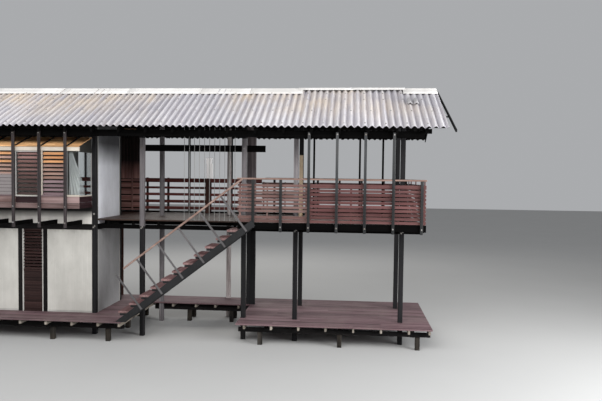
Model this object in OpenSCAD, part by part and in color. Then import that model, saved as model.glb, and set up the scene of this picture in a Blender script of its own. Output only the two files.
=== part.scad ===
// Timber stilt house: a long corrugated gable roof on slender posts, a
// two-storey room wing on the left, a stair recess in the middle and an open
// raised veranda on the right. Front faces -Y, +Z is up, ground is Z = 0.

/* [Levels] */
// Top of the lower decks above the lowest ground point
deck_top = 500; // [400:10:600]
// Top of the upper floor joists
joist_top = 2684; // [2600:1:2800]
// Lower edge of the roof sheets at the eaves
eave_z = 4779; // [4700:1:4900]
// Height of the handrail tops above the ground
rail_top = 3716; // [3650:1:3760]

/* [Roof] */
// Horizontal distance from ridge line to eave edge
eave_y = 1990; // [1950:5:2050]
// Roof slope in degrees
slope = 27.7; // [27:0.1:30]
// Pitch of the roof corrugations
wave_pitch = 146; // [146:1:146]
// Depth of the roof corrugations
wave_depth = 50; // [40:1:55]
// Thickness of the roof sheets
sheet_t = 7; // [6:0.5:9]

/* [Frame] */
// Side of the main square posts
post = 104; // [90:2:120]
// Module of the outer posts, rafters and joists
module_x = 600; // [600:10:600]
// Distance of the outer post line from the ridge line
outer_y = 1800; // [1800:5:1800]

/* [Stair] */
// Number of risers from lower deck to upper floor
risers = 12; // [12:1:12]
// Going of each tread
going = 242; // [238:1:246]

/* [Hidden] */
$fn = 48;

// The house is drawn about the first rail post of the veranda (X = 0 there)
// and moved by xs so that its overall box is centred on X = 0.
roof_x0 = -8355;                 // left roof edge
waves = 85;                      // whole corrugations along the roof
roof_x1 = roof_x0 + waves * wave_pitch + 45; // right roof edge
strip_out = 150;                 // sag of the loose right barge strip
box_x0 = roof_x0 - 22;
box_x1 = roof_x1 + strip_out;
xs = -(box_x0 + box_x1) / 2;

tn = tan(slope);
cs = cos(slope);
zf = joist_top + 28;             // upper floor surface
jz = joist_top - 94;             // underside of joists = top of floor beams
bz = jz - 140;                   // underside of the wing floor beams
row_f = -1080;                   // front row of main posts
row_b = 360;                     // back row of main posts
h = post / 2;
wing_r = -3850;                  // right corner posts of the wing
wing_l = -7550;                  // left corner posts of the wing
open_x = [-2708, -325, 865, 3252];
wide_post = [-505, -285];        // the broad back post beside the stair
stud_x = [-5035, -5650, -6850];
box_r = -3900;                   // ends of the bay window
box_l = -7500;
veranda_l = -340;                // veranda floor ends
veranda_r = 3700;
outer_full = [for (i = [2:5]) i * module_x];
outer_wing = [for (i = [-12:-7]) i * module_x];

// heights on the roof planes at a distance y from the ridge line
function sheet_z(y) = eave_z + (eave_y - abs(y)) * tn;
function raft_top(y) = sheet_z(y) - 35 / cs;
function raft_bot(y) = raft_top(y) - 90 / cs;

module place() { translate([xs, 0, 0]) children(); }
module bx(x0, x1, y0, y1, z0, z1) {
  translate([x0, y0, z0]) cube([x1 - x0, y1 - y0, z1 - z0]);
}
module sq(x, y, a, z0, z1) { bx(x - a / 2, x + a / 2, y - a / 2, y + a / 2, z0, z1); }
// profile in the YZ plane drawn along X
module along_x(x0, x1) {
  translate([x0, 0, 0]) rotate([90, 0, 90]) linear_extrude(x1 - x0) children();
}
// profile in the XZ plane drawn along Y
module along_y(y0, y1) {
  translate([0, y1, 0]) rotate([90, 0, 0]) linear_extrude(y1 - y0) children();
}
module both() { children(); mirror([0, 1, 0]) children(); }
// frame on the front roof slope: x along the eave, -y away from the roof, z up the slope
module on_slope() { translate([0, -eave_y, eave_z]) rotate([-(90 - slope), 0, 0]) children(); }

module all_main_posts(grow = 0) {
  for (x = concat([wing_l, wing_r], open_x)) {
    sq(x, row_f, post + grow, -10, raft_bot(row_f) - 120);
    sq(x, row_b, post + grow, -10, raft_bot(row_b) - 120);
  }
  bx(wide_post[0], wide_post[1], row_b - h, row_b + h, -10, raft_bot(row_b) - 120);
}
module pole_shapes(z1) {
  for (x = [-1112, -4760, -7330]) translate([x, 1060, 0]) cylinder(r = 70, h = z1);
}

// ---------- posts ----------
module main_posts_front() color("#2b2a2a") place()
  for (x = concat([wing_l, wing_r], open_x)) sq(x, row_f, post, 0, raft_bot(row_f - h) - 120);
module main_posts_back() color("#2b2a2a") place() {
  for (x = concat([wing_l, wing_r], open_x)) if (x != open_x[1]) sq(x, row_b, post, 0, raft_bot(row_b + h) - 120);
  bx(wide_post[0], wide_post[1], row_b - h, row_b + h, 0, raft_bot(row_b + h) - 120);
}
module wing_studs() color("#232222") place() {
  for (x = stud_x) {
    bx(x - 50, x + 50, row_f - h, row_f + 45, deck_top, bz);
    bx(x - 50, x + 50, row_b - 45, row_b + h, deck_top, bz);
  }
}
module rough_poles() color("#9a8f82") place() {
  pole_shapes(jz - 100);
  for (x = [-1112, -4760, -7330]) translate([x, 1060, zf]) cylinder(r = 62, h = raft_bot(1060 + 62) - 100 - zf);
}
// slender posts hung outside the edge beams and eave beams
module outer_post(x, z1, z0 = 2555) bx(x - 29, x + 29, -outer_y - 50, -outer_y, z0, z1);
module outer_posts_front() color("#4a4d50") place() {
  for (x = concat(outer_full, outer_wing)) outer_post(x, 4705);
  for (x = [module_x, 6 * module_x]) outer_post(x, rail_top - rail_n);
  outer_post(0, rail_top - rail_n, 2640);
}
module outer_posts_back() color("#4a4d50") place() mirror([0, 1, 0]) {
  for (x = outer_wing) outer_post(x, 4811);
  for (x = concat(outer_full, [module_x, 6 * module_x])) outer_post(x, rail_top - rail_n);
  outer_post(0, rail_top - rail_n);
  for (x = [-3600, -3000, -2400, -1800, -1200, -600]) outer_post(x, x == -2400 || x == -1200 ? 4811 : rail_top - rail_n);
}

// ---------- lower decks ----------
dk = [-7750, -2920, -390, 3900];
joist_xl = [for (i = [0:8]) i == 8 ? -2965 : -7650 + i * 600];
joist_xr = [for (i = [0:7]) i == 7 ? 3840 : -200 + i * 600];
module deck_stumps() color("#3a3533") place() {
  for (y = [-1620, -420, 900], x = [-7300, -6200, -4600, -3300]) sq(x, y, 100, 0, deck_top - 218);
  for (y = [-1480, -420, 900], x = [130, 1900, 3600]) sq(x, y, 100, 0, deck_top - 218);
  for (y = [460, 900], x = [-2000, -900]) sq(x, y, 100, 0, deck_top - 218);
}
module deck_bearers() color("#332e2c") place() {
  for (y = [-1620, -420]) bx(dk[0] + 30, dk[1] - 20, y - 23, y + 23, deck_top - 218, deck_top - 118);
  for (y = [-1480, -420]) bx(dk[2] + 30, dk[3] - 20, y - 23, y + 23, deck_top - 218, deck_top - 118);
  bx(dk[0] + 30, dk[3] - 20, 877, 923, deck_top - 218, deck_top - 118);
  bx(dk[1] - 20 + 30, dk[2], 437, 483, deck_top - 218, deck_top - 118);
}
module deck_joists() color("#a79f92") place() {
  for (x = joist_xl) bx(x - 22, x + 22, -1862, 1080, deck_top - 118, deck_top - 28);
  for (x = joist_xr) bx(x - 22, x + 22, -1680, 1080, deck_top - 118, deck_top - 28);
  for (x = [-2400, -1800, -1300, -700]) bx(x - 22, x + 22, 300, 1080, deck_top - 118, deck_top - 28);
}
module deck_slab(x0, x1, y0, y1) difference() {
  bx(x0, x1, y0, y1, deck_top - 28, deck_top);
  all_main_posts();
  pole_shapes(1000);
}
module lower_deck_left() color("#6d4a4c") place() deck_slab(dk[0], dk[1], -1890, 1100);
module lower_walkway() color("#6d4a4c") place() deck_slab(dk[1] + 4, dk[2] - 4, 270, 1100);
module lower_deck_right() color("#6d4a4c") place() deck_slab(dk[2], dk[3], -1700, 1100);

// ---------- upper floor ----------
module wing_floor_beams() color("#1f1e1e") place() {
  for (y = [row_f, row_b]) bx(wing_l + h, wing_r - h, y - 50, y + 50, bz, jz);
  for (x = [wing_l, wing_r]) bx(x - 45, x + 45, row_f + h, row_b - h, bz, jz);
}
module floor_beams() color("#1f1e1e") place() {
  bx(wing_r + 45, veranda_r - 35, row_f + h, row_f + h + 45, jz - 100, jz);
  bx(wing_r + 45, veranda_r - 35, row_b - h - 45, row_b - h, jz - 100, jz);
  bx(box_l, veranda_r - 35, 1037, 1083, jz - 100, jz);
}
function in_void(x) = x > -3700 && x < veranda_l;
module joist_shapes() {
  for (i = [-12:6]) let (x = i * module_x + 25)
    bx(x, x + 45, in_void(x) ? row_f + h : -outer_y + (x > veranda_l ? 45 : 0), outer_y - 45, jz, joist_top);
}
module floor_joists() color("#242222") place() difference() {
  joist_shapes();
  translate([0, 0, 0]) all_main_posts();
}
module edge_beams() color("#1b1a1a") place() {
  bx(veranda_l, veranda_r, -outer_y, -outer_y + 45, 2604, 2752);
  bx(box_l, veranda_r, outer_y - 45, outer_y, 2604, 2752);
  bx(veranda_r - 28, veranda_r, -outer_y + 45.5, outer_y - 45.5, 2604, 2684);
}
module floor_slab(x0, x1, y0, y1) difference() {
  bx(x0, x1, y0, y1, joist_top, zf);
  all_main_posts();
}
module wing_floor() color("#7a5346") place() floor_slab(box_l, wing_r + 5, -1080 + 40 + 1, outer_y - 45);
module recess_floor() color("#6f4c43") place() union() {
  floor_slab(-3805, veranda_l, row_f + 20, outer_y - 45);
  difference() {
    bx(wing_r + 5, -3805, row_b + h, outer_y - 45, joist_top, zf);
    all_main_posts();
  }
}
module veranda_floor() color("#6f4c43") place() floor_slab(veranda_l, veranda_r, -outer_y + 45, outer_y - 45);

// ---------- wing walls ----------
// wall bays between the lower posts: [x0, x1, louvred]
lower_bays = [
  [stud_x[0] + 50, wing_r - h, false], [stud_x[1] + 50, stud_x[0] - 50, true],
  [stud_x[2] + 50, stud_x[1] - 50, false], [wing_l + h, stud_x[2] - 50, true]
];
module lower_wall(y0, y1) {
  for (b = lower_bays) if (!b[2]) bx(b[0], b[1], y0, y1, deck_top, bz);
}
module lower_wall_front() color("#c9c6ba") place() lower_wall(row_f - 45, row_f - 5);
module lower_wall_back() color("#c9c6ba") place() lower_wall(row_b + 5, row_b + 45);
module lower_wall_sides() color("#bdbcb4") place() {
  bx(wing_r + 5, wing_r + 45, row_f + h, row_b - h, deck_top, bz);
  bx(wing_l - 45, wing_l - 5, row_f + h, row_b - h, deck_top, bz);
}
// timber louvres above a boarded lower half, in a pale frame
module louvre_bay(x0, x1, y, z0, z1) {
  zm = z0 + (z1 - z0) * 0.497;
  bx(x0, x0 + 24, y - 20, y + 20, z0, z1);
  bx(x1 - 24, x1, y - 20, y + 20, z0, z1);
  bx(x0 + 24, x1 - 24, y - 20, y + 20, z0, z0 + 30);
  bx(x0 + 24, x1 - 24, y - 20, y + 20, z1 - 30, z1);
  bx(x0 + 24, x1 - 24, y - 20, y + 20, zm - 20, zm + 20);
  bx(x0 + 24, x1 - 24, y - 8, y + 8, z0 + 30, zm - 20);
  n = floor((z1 - zm - 60) / 80);
  for (i = [0:n - 1]) translate([x0 + 24, y, zm + 56 + i * 80])
    rotate([38, 0, 0]) translate([0, -34, -5]) cube([x1 - x0 - 48, 68, 10]);
}
module lower_louvres() color("#6b3f33") place()
  for (b = lower_bays) if (b[2]) {
    louvre_bay(b[0], b[1], row_f - 25, deck_top, bz);
    louvre_bay(b[0], b[1], row_b + 25, deck_top, bz);
  }
// pale sill panel under the bay and the closing panel above its roof
module upper_wall_front() color("#c4c3bd") place() difference() {
  union() {
    bx(wing_l + h, wing_r - h, row_f - h, row_f - 15, jz, 2980);
    bx(wing_l + h, wing_r - h, row_f - h, row_f - 15, 4612, raft_bot(row_f - h) - 120);
  }
  joist_shapes();
}
back_win = [-4950, -3960];
module upper_wall_back() color("#c4c3bd") place() difference() {
  bx(wing_l + h, wing_r - h, row_b, row_b + 40, zf, raft_bot(row_b + h) - 120);
  bx(back_win[0], back_win[1], row_b - 10, row_b + 60, zf - 1, zf + 2060);
}
module side_panel(x0, x1) difference() {
  along_x(x0, x1) polygon([
    [row_f + h, jz], [row_b - h, jz], [row_b - h, sheet_z(row_b - h) - 48 / cs],
    [0, sheet_z(0) - 48 / cs], [row_f + h, sheet_z(row_f + h) - 48 / cs]]);
  bx(x0 - 1, x1 + 1, -22, 22, raft_bot(22) - 60, 7000);
}
module upper_wall_sides() color("#c4c3bd") place() {
  side_panel(wing_r + 5, wing_r + 45);
  side_panel(wing_l - 45, wing_l - 5);
}

// ---------- bay window along the front of the wing ----------
bay_y = -1780;
bay_z0 = 2980; bay_z1 = 3245; bay_z2 = 4260; bay_z3 = 4350;
module bay_box() color("#a5705f") place() {
  bx(box_l, box_r, bay_y, row_f - h, bay_z0, bay_z0 + 20);
  bx(box_l, box_r, bay_y, row_f - h, bay_z1 - 22, bay_z1);
  bx(box_l, box_r, bay_y, bay_y + 22, bay_z0 + 20.5, bay_z1 - 22.5);
  for (x = [box_l, box_r - 22]) bx(x, x + 22, bay_y + 22.5, row_f - h, bay_z0 + 20.5, bay_z1 - 22.5);
}
module bay_window_frame() color("#b9b6ac") place() {
  bx(box_l, box_r, bay_y, bay_y + 40, bay_z2, bay_z3);
  bx(box_l, box_r, bay_y, bay_y + 34, bay_z1, bay_z1 + 26);
  for (x = [box_l, box_r - 14]) bx(x, x + 14, bay_y + 34.5, row_f - h, bay_z1, bay_z1 + 26);
  // end heads carried up as closed cheeks to the underside of the small roof
  for (x = [box_l, box_r - 14]) along_x(x, x + 14) polygon([
    [bay_y + 40.5, bay_z2 - 20], [row_f - h, bay_z2 - 20],
    [row_f - h, lid_z(row_f - h) - 1], [bay_y + 40.5, lid_z(bay_y + 40.5) - 1]]);
  for (i = [-12:-7]) let (x = i * module_x)
    for (dx = [-38, 12]) bx(x + dx, x + dx + 26, bay_y, bay_y + 34, bay_z1 + 26.5, bay_z2 - 0.5);
}
module bay_louvres() color("#a2694a") place()
  for (i = [-12:-8]) let (x0 = i * module_x + 40, x1 = (i + 1) * module_x - 40, y = bay_y + (i % 2 == 0 ? 36 : 70))
    for (k = [0:10]) translate([x0, y, bay_z1 + 62 + k * 89.5])
      rotate([45, 0, 0]) translate([0, -38, -4]) cube([x1 - x0, 76, 8]);
module bay_glass() color("#9fb2b5") place() {
  for (i = [-11, -9, -7]) let (x = i * module_x + 38)
    bx(x, i == -7 ? box_r - 8 : x + module_x - 76, bay_y + 12, bay_y + 18, bay_z1 + 26, bay_z2);
  bx(box_l + 8, -12 * module_x - 38, bay_y + 12, bay_y + 18, bay_z1 + 26, bay_z2);
  for (x = [box_l + 4, box_r - 10]) bx(x, x + 6, bay_y + 42, row_f - h, bay_z1 + 26, bay_z2 - 20);
}
// little lean-to roof over the bay, with ribs at the posts
lid = [[bay_y - 12, bay_z3], [row_f - h, 4592]];
function lid_z(y) = lid[0][1] + (y - lid[0][0]) * (lid[1][1] - lid[0][1]) / (lid[1][0] - lid[0][0]);
module bay_roof() color("#b98a55") place() {
  along_x(box_l - 12, box_r) polygon([lid[0], [lid[0][0], lid[0][1] + 18], [lid[1][0], lid[1][1] + 18], lid[1]]);
  for (i = [-12:-7]) let (x = i * module_x + 25) along_x(x, x + 30)
    polygon([[lid[0][0], lid[0][1] + 18], [lid[0][0], lid[0][1] + 42], [lid[1][0], lid[1][1] + 42], [lid[1][0], lid[1][1] + 18]]);
}

// ---------- back gallery and storage screens ----------
module gallery_screen() color("#5a3128") place() {
  for (z = [[2752, 2817], [2831, 3001], [3015, 3184], [3198, 3373], [3387, 3542], [3556, 3638]])
    bx(-4740, -3690, outer_y - 22, outer_y, z[0], z[1]);
  bx(-4740, -3690, outer_y - 22, outer_y, 3646, 4850);
  for (x = [-4740, -4045, -3730]) bx(x, x + 40, outer_y - 44, outer_y - 22, zf + 40, 4840);
}
module storage_screen() color("#5a2c2a") place()
  bx(-4640, -3975, 1000, 1024, deck_top, jz);

// ---------- stair ----------
rise = (zf - deck_top) / risers;
st_y0 = -1888; st_y1 = -1185;    // outer faces of the two stringers
sx = -256;                       // nosing of the upper floor at the stair head
tread_dx = 73;                    // the treads sit this much up the slope from an even division
function tread_x(k) = sx - going * k + tread_dx;
function tread_z(k) = zf - rise * k + tread_dx * rise / going;
sl = rise / going;
st_a = atan(sl);
// height of the line through the tread centres at a distance x
function pitch_z(x) = zf + (x - sx) * sl;
// where a line a given drop below the pitch line meets a height
function on_line(z, drop) = sx + (z - zf + drop) / sl;
str_d = 271; str_u = 86;         // drop of the lower and upper stringer edge
str_w = (str_d - str_u) * cos(st_a); // width of the stringer plate
module stringer(y, top) along_y(y, y + 38) polygon(concat(top, [
  [on_line(deck_top, str_u), deck_top], [on_line(deck_top, str_d), deck_top]]));
module stair_stringers() color("#3d4446") place() {
  stringer(st_y0, [[62, pitch_z(62) - str_d], [62 - str_w * sin(st_a), pitch_z(62) - str_d + str_w * cos(st_a)]]);
  stringer(st_y1 - 38, [[20, pitch_z(20) - str_d], [20, zf - 30], [on_line(zf - 30, str_u), zf - 30]]);
}
module stair_treads() color("#8b5650") place()
  for (k = [1:risers - 1]) bx(tread_x(k) - going / 2 - 14, tread_x(k) + going / 2 + 14, st_y0 + 38, st_y1 - 38, tread_z(k) - 45, tread_z(k));
stair_rail_t = 40;               // thickness of the stair handrail across its slope
rail_meet = -222;                // where the stair handrail meets the level one
function rail_z(x) = rail_top + (x - rail_meet) * sl;
module stanchion_shapes()
  for (k = [0:5]) let (fx = -122 - k * 463, fz = pitch_z(fx) - 250,
    len = (rail_z(fx) - stair_rail_t / cos(st_a) - fz) * cos(st_a))
    translate([fx, st_y0, fz]) rotate([0, -st_a, 0]) bx(-22, 22, -10, 0, 0, len);
module stair_stanchions() color("#585f61") place() stanchion_shapes();

// ---------- rails and screens ----------
rail_n = 36;
module handrails() color("#9c6a5c") place() difference() {
  union() {
    bx(-346, veranda_r - 2, -outer_y - 44, -outer_y + 26, rail_top - rail_n, rail_top);
    mirror([0, 1, 0]) bx(-250, veranda_r - 2, -outer_y - 44, -outer_y + 26, rail_top - rail_n, rail_top);
    bx(veranda_r - 72, veranda_r - 2, -outer_y + 26.5, outer_y - 26.5, rail_top - rail_n, rail_top);
    along_y(st_y0 - 10, st_y0 + 35) polygon([
      [rail_meet, rail_z(rail_meet)], [-2850, rail_z(-2850)],
      [-2850, rail_z(-2850) - stair_rail_t / cos(st_a)], [rail_meet, rail_z(rail_meet) - stair_rail_t / cos(st_a)]]);
  }
  for (x = outer_full) outer_post(x, 4705);
}
module slat(x0, x1, z, hh) bx(x0, x1, -outer_y, -outer_y + 20, z, z + hh);
// open slats on the left, closer boards with a wide top board on the right
module screen_side() {
  for (i = [0:9]) slat(-340, 1170, 2760 + (i < 2 ? i * 72 : 64 + i * 79), i < 2 ? 66 : 50);
  bx(-310, -270, -outer_y + 20, -outer_y + 45, 2752, 3600);
  bx(290, 320, -outer_y + 20, -outer_y + 45, 2752, 3600);
  bx(1130, 1170, -outer_y + 20, -outer_y + 45, 2752, 3600);
  for (i = [0:9]) slat(1215, 3650, 2760 + i * 83.5, i == 9 ? 84 : 62);
  for (x = [1215, 2090, 2990, 3610]) bx(x, x + 40, -outer_y + 20, -outer_y + 45, 2752, 3595);
}
module slat_screen_front() color("#8f5a50") place() screen_side();
module slat_screen_back() color("#8f5a50") place() mirror([0, 1, 0]) screen_side();
module slat_screen_end() color("#8f5a50") place() {
  for (i = [0:9]) bx(veranda_r - 22, veranda_r - 2, -1745, 1745, 2760 + i * 83.5, 2760 + i * 83.5 + (i == 9 ? 84 : 62));
  for (y = [-1745, -1100, 0, 1100, 1705]) bx(veranda_r - 47, veranda_r - 22, y, y + 40, zf, rail_top - rail_n);
}
module gallery_rails() color("#7c4038") place()
  for (z = [[2798, 2880], [2982, 3064], [3181, 3255], [3372, 3435], [3552, 3667]]) {
    bx(box_l, -4745, outer_y - 20, outer_y, z[0], z[1]);
    bx(-3685, -345, outer_y - 20, outer_y, z[0], z[1]);
  }
module tie_beam() color("#161515") place() bx(-2755, 147, row_f + h, row_f + h + 45, 4302, 4452);
module guard_rods() color("#6c6f6c") place()
  for (i = [0:10]) translate([-1733 + i * 118.2, row_f + 42.5, zf]) cylinder(r = 6, h = raft_bot(row_f - 35) - 60 - zf);
// post at the back rail with a plain box lantern on it
module recess_newel() color("#5d3b33") place() bx(-1910, -1780, outer_y - 140, outer_y - 46, zf, 3672);
module post_lantern() color("#d9d6cf") place() {
  difference() {
    bx(-1874, -1716, outer_y - 150, outer_y - 25, 3672, 4190);
    bx(-1868, -1722, outer_y - 144, outer_y - 31, 3671, 4170);
  }
  bx(-1886, -1708, outer_y - 158, outer_y - 17, 4190.5, 4232);
}

// ---------- roof frame ----------
// front eave beam; at its right end only a shallow upper arm runs on past the last rafter
module eave_beams() color("#161515") place() union() {
  bx(-7900, 3630, -outer_y, -outer_y + 45, raft_bot(outer_y) - 144, raft_bot(outer_y));
  bx(3629, 3784, -outer_y, -outer_y + 45, 4690, raft_bot(outer_y));
  bx(3671, 3784, -outer_y, -outer_y + 45, 4690, 4790);
}
module plate_posts() color("#1b1a1a") place()
  for (k = [0:3]) bx(1111 + k * 597, 1161 + k * 597, 1035, 1085, zf, raft_bot(1060 + 62) - 100);
module post_plates() color("#1b1a1a") place() {
  bx(-7900, veranda_r, row_f - 35, row_f + 35, raft_bot(row_f - h) - 120, raft_bot(row_f - 35));
  bx(-7900, veranda_r, row_b - 35, row_b + 35, raft_bot(row_b + h) - 120, raft_bot(row_b + 35));
  bx(-7900, veranda_r, 1060 - 35, 1060 + 35, raft_bot(1060 + 62) - 100, raft_bot(1060 + 35));
}
raft_x = concat([-8300], [for (i = [-13:6]) i * module_x + 25], [4000]);
module raft_poly(y0, y1, t0, t1) polygon([
  [-y0, sheet_z(y0) - t0 / cs], [-y1, sheet_z(y1) - t0 / cs], [-y1, sheet_z(y1) - t1 / cs], [-y0, sheet_z(y0) - t1 / cs]]);
module rafters() color("#211e1d") place()
  for (x = raft_x) {
    along_x(x, x + 45) raft_poly(x < 3900 ? eave_y - 40 : 1600, 22, 35, 125);
    mirror([0, 1, 0]) along_x(x, x + 45) raft_poly(x < 3900 ? 1740 : 1600, 22, 35, 125);
  }
module ridge_beam() color("#1b1a1a") place()
  bx(roof_x0 + 20, roof_x1 - 20, -22, 22, raft_bot(22) - 60, sheet_z(22) - 35 / cs - 2);
slope_l = eave_y / cs;
module purlins() color("#2a2524") place() both() on_slope()
  for (s = [110, 820, 1530, slope_l - 130]) bx(roof_x0 + 20, roof_x1 - 20, 0, 35, s, s + 45);
module ceiling_lining() color("#b5824f") place() difference() {
  both() along_x(wing_l - 45, wing_r + 45) raft_poly(1740, 22, 35, 47);
  for (x = raft_x) both() along_x(x, x + 45) raft_poly(eave_y - 40, 10, 20, 125);
}
// ---------- roof skin ----------
seg = 6;
function wave_n(i) = wave_depth / 2 * (1 - cos(360 * i / seg));
module wave_sheet() {
  n = waves * seg + 2;
  step = wave_pitch / seg;
  on_slope() linear_extrude(slope_l) polygon(concat(
    [for (i = [0:n]) [roof_x0 + min(i * step, roof_x1 - roof_x0), -wave_n(i)]],
    [for (i = [n:-1:0]) [roof_x0 + min(i * step, roof_x1 - roof_x0), -wave_n(i) - sheet_t / cos(atan(3.14159 * wave_depth / wave_pitch * sin(360 * i / seg)))]]));
}
module roof_sheets_front() color("#bdb8bc") place() wave_sheet();
module roof_sheets_back() color("#bdb8bc") place() mirror([0, 1, 0]) wave_sheet();
cap_n = wave_depth + sheet_t + 1;
module cap_wings(x0, x1, w) both() along_x(x0, x1) polygon([
  [-w, sheet_z(w) + cap_n / cs], [-0.3, sheet_z(0.3) + cap_n / cs],
  [-0.3, sheet_z(0.3) + (cap_n + 8) / cs], [-w, sheet_z(w) + (cap_n + 8) / cs]]);
module ridge_cap() color("#d6d3d2") place() {
  cap_wings(roof_x0, 829.5, 320);
  cap_wings(830, 3329.5, 110);
  cap_wings(3330, roof_x1, 310);
}
// barge strips: tight on three edges, hanging off its clips on the front right
module tight_strip(x) along_x(x, x + 22) raft_poly(eave_y - 5, 2, -40, 45);
module barge_strips() color("#1d1b1b") place() {
  both() tight_strip(roof_x0 - 22);
  mirror([0, 1, 0]) tight_strip(roof_x1);
  on_slope() translate([roof_x1, 0, 0]) {
    translate([0, 25, 0]) rotate([90, 0, 0]) linear_extrude(50)
      polygon([[5, slope_l - 60], [35, slope_l - 60], [strip_out, -110], [strip_out - 32, -110]]);
    for (s = [0.3, 0.68]) let (z = slope_l * (1 - s)) bx(-20, 30 + 110 * s, 36, 44, z, z + 60);
    for (s = [0.3, 0.68]) let (z = slope_l * (1 - s)) bx(20 + 80 * s, 32 + 92 * s, 24.9, 37, z, z + 60);
  }
}

main_posts_front();
main_posts_back();
wing_studs();
rough_poles();
outer_posts_front();
outer_posts_back();
deck_stumps();
deck_bearers();
deck_joists();
lower_deck_left();
lower_walkway();
lower_deck_right();
wing_floor_beams();
floor_beams();
floor_joists();
edge_beams();
wing_floor();
recess_floor();
veranda_floor();
lower_wall_front();
lower_wall_back();
lower_wall_sides();
lower_louvres();
upper_wall_front();
upper_wall_back();
upper_wall_sides();
bay_box();
bay_window_frame();
bay_louvres();
bay_glass();
bay_roof();
gallery_screen();
storage_screen();
stair_stringers();
stair_treads();
stair_stanchions();
handrails();
slat_screen_front();
slat_screen_back();
slat_screen_end();
gallery_rails();
tie_beam();
guard_rods();
recess_newel();
post_lantern();
plate_posts();
eave_beams();
post_plates();
rafters();
ridge_beam();
purlins();
ceiling_lining();
roof_sheets_front();
roof_sheets_back();
ridge_cap();
barge_strips();
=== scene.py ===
import math
import random

import bmesh
import bpy
import numpy as np
from mathutils import Matrix, Vector, noise


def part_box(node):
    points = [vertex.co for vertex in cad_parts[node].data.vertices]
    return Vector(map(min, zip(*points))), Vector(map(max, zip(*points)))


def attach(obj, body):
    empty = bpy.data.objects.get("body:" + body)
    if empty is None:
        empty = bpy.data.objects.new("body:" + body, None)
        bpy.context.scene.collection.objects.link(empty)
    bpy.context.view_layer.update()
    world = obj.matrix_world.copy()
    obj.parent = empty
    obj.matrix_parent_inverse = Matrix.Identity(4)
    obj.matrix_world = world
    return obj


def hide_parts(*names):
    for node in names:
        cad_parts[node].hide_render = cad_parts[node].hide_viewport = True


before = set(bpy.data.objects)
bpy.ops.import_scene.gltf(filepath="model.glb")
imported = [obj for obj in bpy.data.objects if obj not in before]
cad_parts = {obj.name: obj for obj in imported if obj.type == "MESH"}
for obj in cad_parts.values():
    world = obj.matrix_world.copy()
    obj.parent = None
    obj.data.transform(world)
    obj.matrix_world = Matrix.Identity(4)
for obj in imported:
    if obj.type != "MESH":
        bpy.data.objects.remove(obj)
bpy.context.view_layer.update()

XS = 2.0635                 # the house is laid out about the first rail post of the veranda
R = random.Random(11)


# ------------------------------------------------------------------ mesh helpers
class Soup:
    """Vertices and faces of many boards, each with its own grain coordinates and tone."""

    def __init__(self, dx=0.0):
        self.v, self.f, self.g, self.t, self.w, self.s = [], [], [], [], [], []
        self.dx = dx

    def add(self, verts, faces, grain, tone, wear=0.0, smooth=False):
        n = len(self.v)
        self.v.extend((p[0] + self.dx, p[1], p[2]) for p in verts)
        self.g.extend(tuple(p) for p in grain)
        self.t.extend(tone if isinstance(tone, (list, tuple)) else [tone] * len(verts))
        self.f.extend([tuple(i + n for i in f) for f in faces])
        self.w.extend(wear if isinstance(wear, (list, tuple)) else [wear] * len(faces))
        self.s.extend(smooth if isinstance(smooth, (list, tuple)) else [smooth] * len(faces))

    def make(self, name, mat, slot, *nodes):
        me = bpy.data.meshes.new(name)
        me.from_pydata(self.v, [], self.f)
        a = me.attributes.new("grain", "FLOAT_VECTOR", "POINT")
        a.data.foreach_set("vector", np.array(self.g, np.float32).ravel())
        a = me.attributes.new("tone", "FLOAT", "POINT")
        a.data.foreach_set("value", np.array(self.t, np.float32))
        a = me.attributes.new("wear", "FLOAT", "FACE")
        a.data.foreach_set("value", np.array(self.w, np.float32))
        me.polygons.foreach_set("use_smooth", np.array(self.s, bool))
        me.materials.append(mat)
        me.update()
        o = bpy.data.objects.new(name, me)
        bpy.context.scene.collection.objects.link(o)
        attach(o, "root")
        if nodes:
            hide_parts(*nodes)
        return o


def bar(s, p0, p1, w, t, side=(0, 1, 0), c=0.003, rings=None, wob=0.0, tone=None, pitch=0.5, bow=(0.0, 0.0), twist=0.0):
    """A board from p0 to p1, w wide along side and t thick, with eased edges, bowed or twisted a little if asked."""
    p0, p1 = Vector(p0), Vector(p1)
    d = p1 - p0
    ln = d.length
    d = d / ln
    a = Vector(side)
    a = (a - d * a.dot(d)).normalized()
    b = d.cross(a)
    n = rings or (max(3, min(14, int(ln / pitch) + 2)) if wob or twist or bow != (0.0, 0.0) else 2)
    hw, ht = w / 2, t / 2
    c = min(c, hw * 0.4, ht * 0.4)
    prof = [(hw - c, -ht), (hw, -ht + c), (hw, ht - c), (hw - c, ht), (-hw + c, ht), (-hw, ht - c), (-hw, -ht + c), (-hw + c, -ht)]
    off = Vector((R.uniform(0, 20), R.uniform(0, 20), R.uniform(0, 20)))
    tone = R.random() if tone is None else tone
    verts, grain = [], []
    ph = R.uniform(0, 50)
    for i in range(n):
        u = i / (n - 1)
        q = Vector((ph, u * ln * 0.9, 0))
        k4 = 4 * u * (1 - u)
        da = wob * noise.noise(q) + bow[0] * k4
        db = wob * noise.noise(q + Vector((7, 0, 3))) + bow[1] * k4
        ct, st = math.cos(twist * (u - 0.5)), math.sin(twist * (u - 0.5))
        for x, y in prof:
            verts.append(p0 + d * (u * ln) + a * (x * ct - y * st + da) + b * (x * st + y * ct + db))
            grain.append(off + Vector((u * ln, x, y)))
    faces, wear = [tuple(reversed(range(8)))], [0.6]
    for i in range(n - 1):
        for k in range(8):
            j = (k + 1) % 8
            faces.append((i * 8 + k, i * 8 + j, i * 8 + 8 + j, i * 8 + 8 + k))
            wear.append(1.0 if k % 2 == 0 else 0.0)
    faces.append(tuple(range((n - 1) * 8, n * 8)))
    wear.append(0.6)
    s.add(verts, faces, grain, tone, wear)


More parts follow.
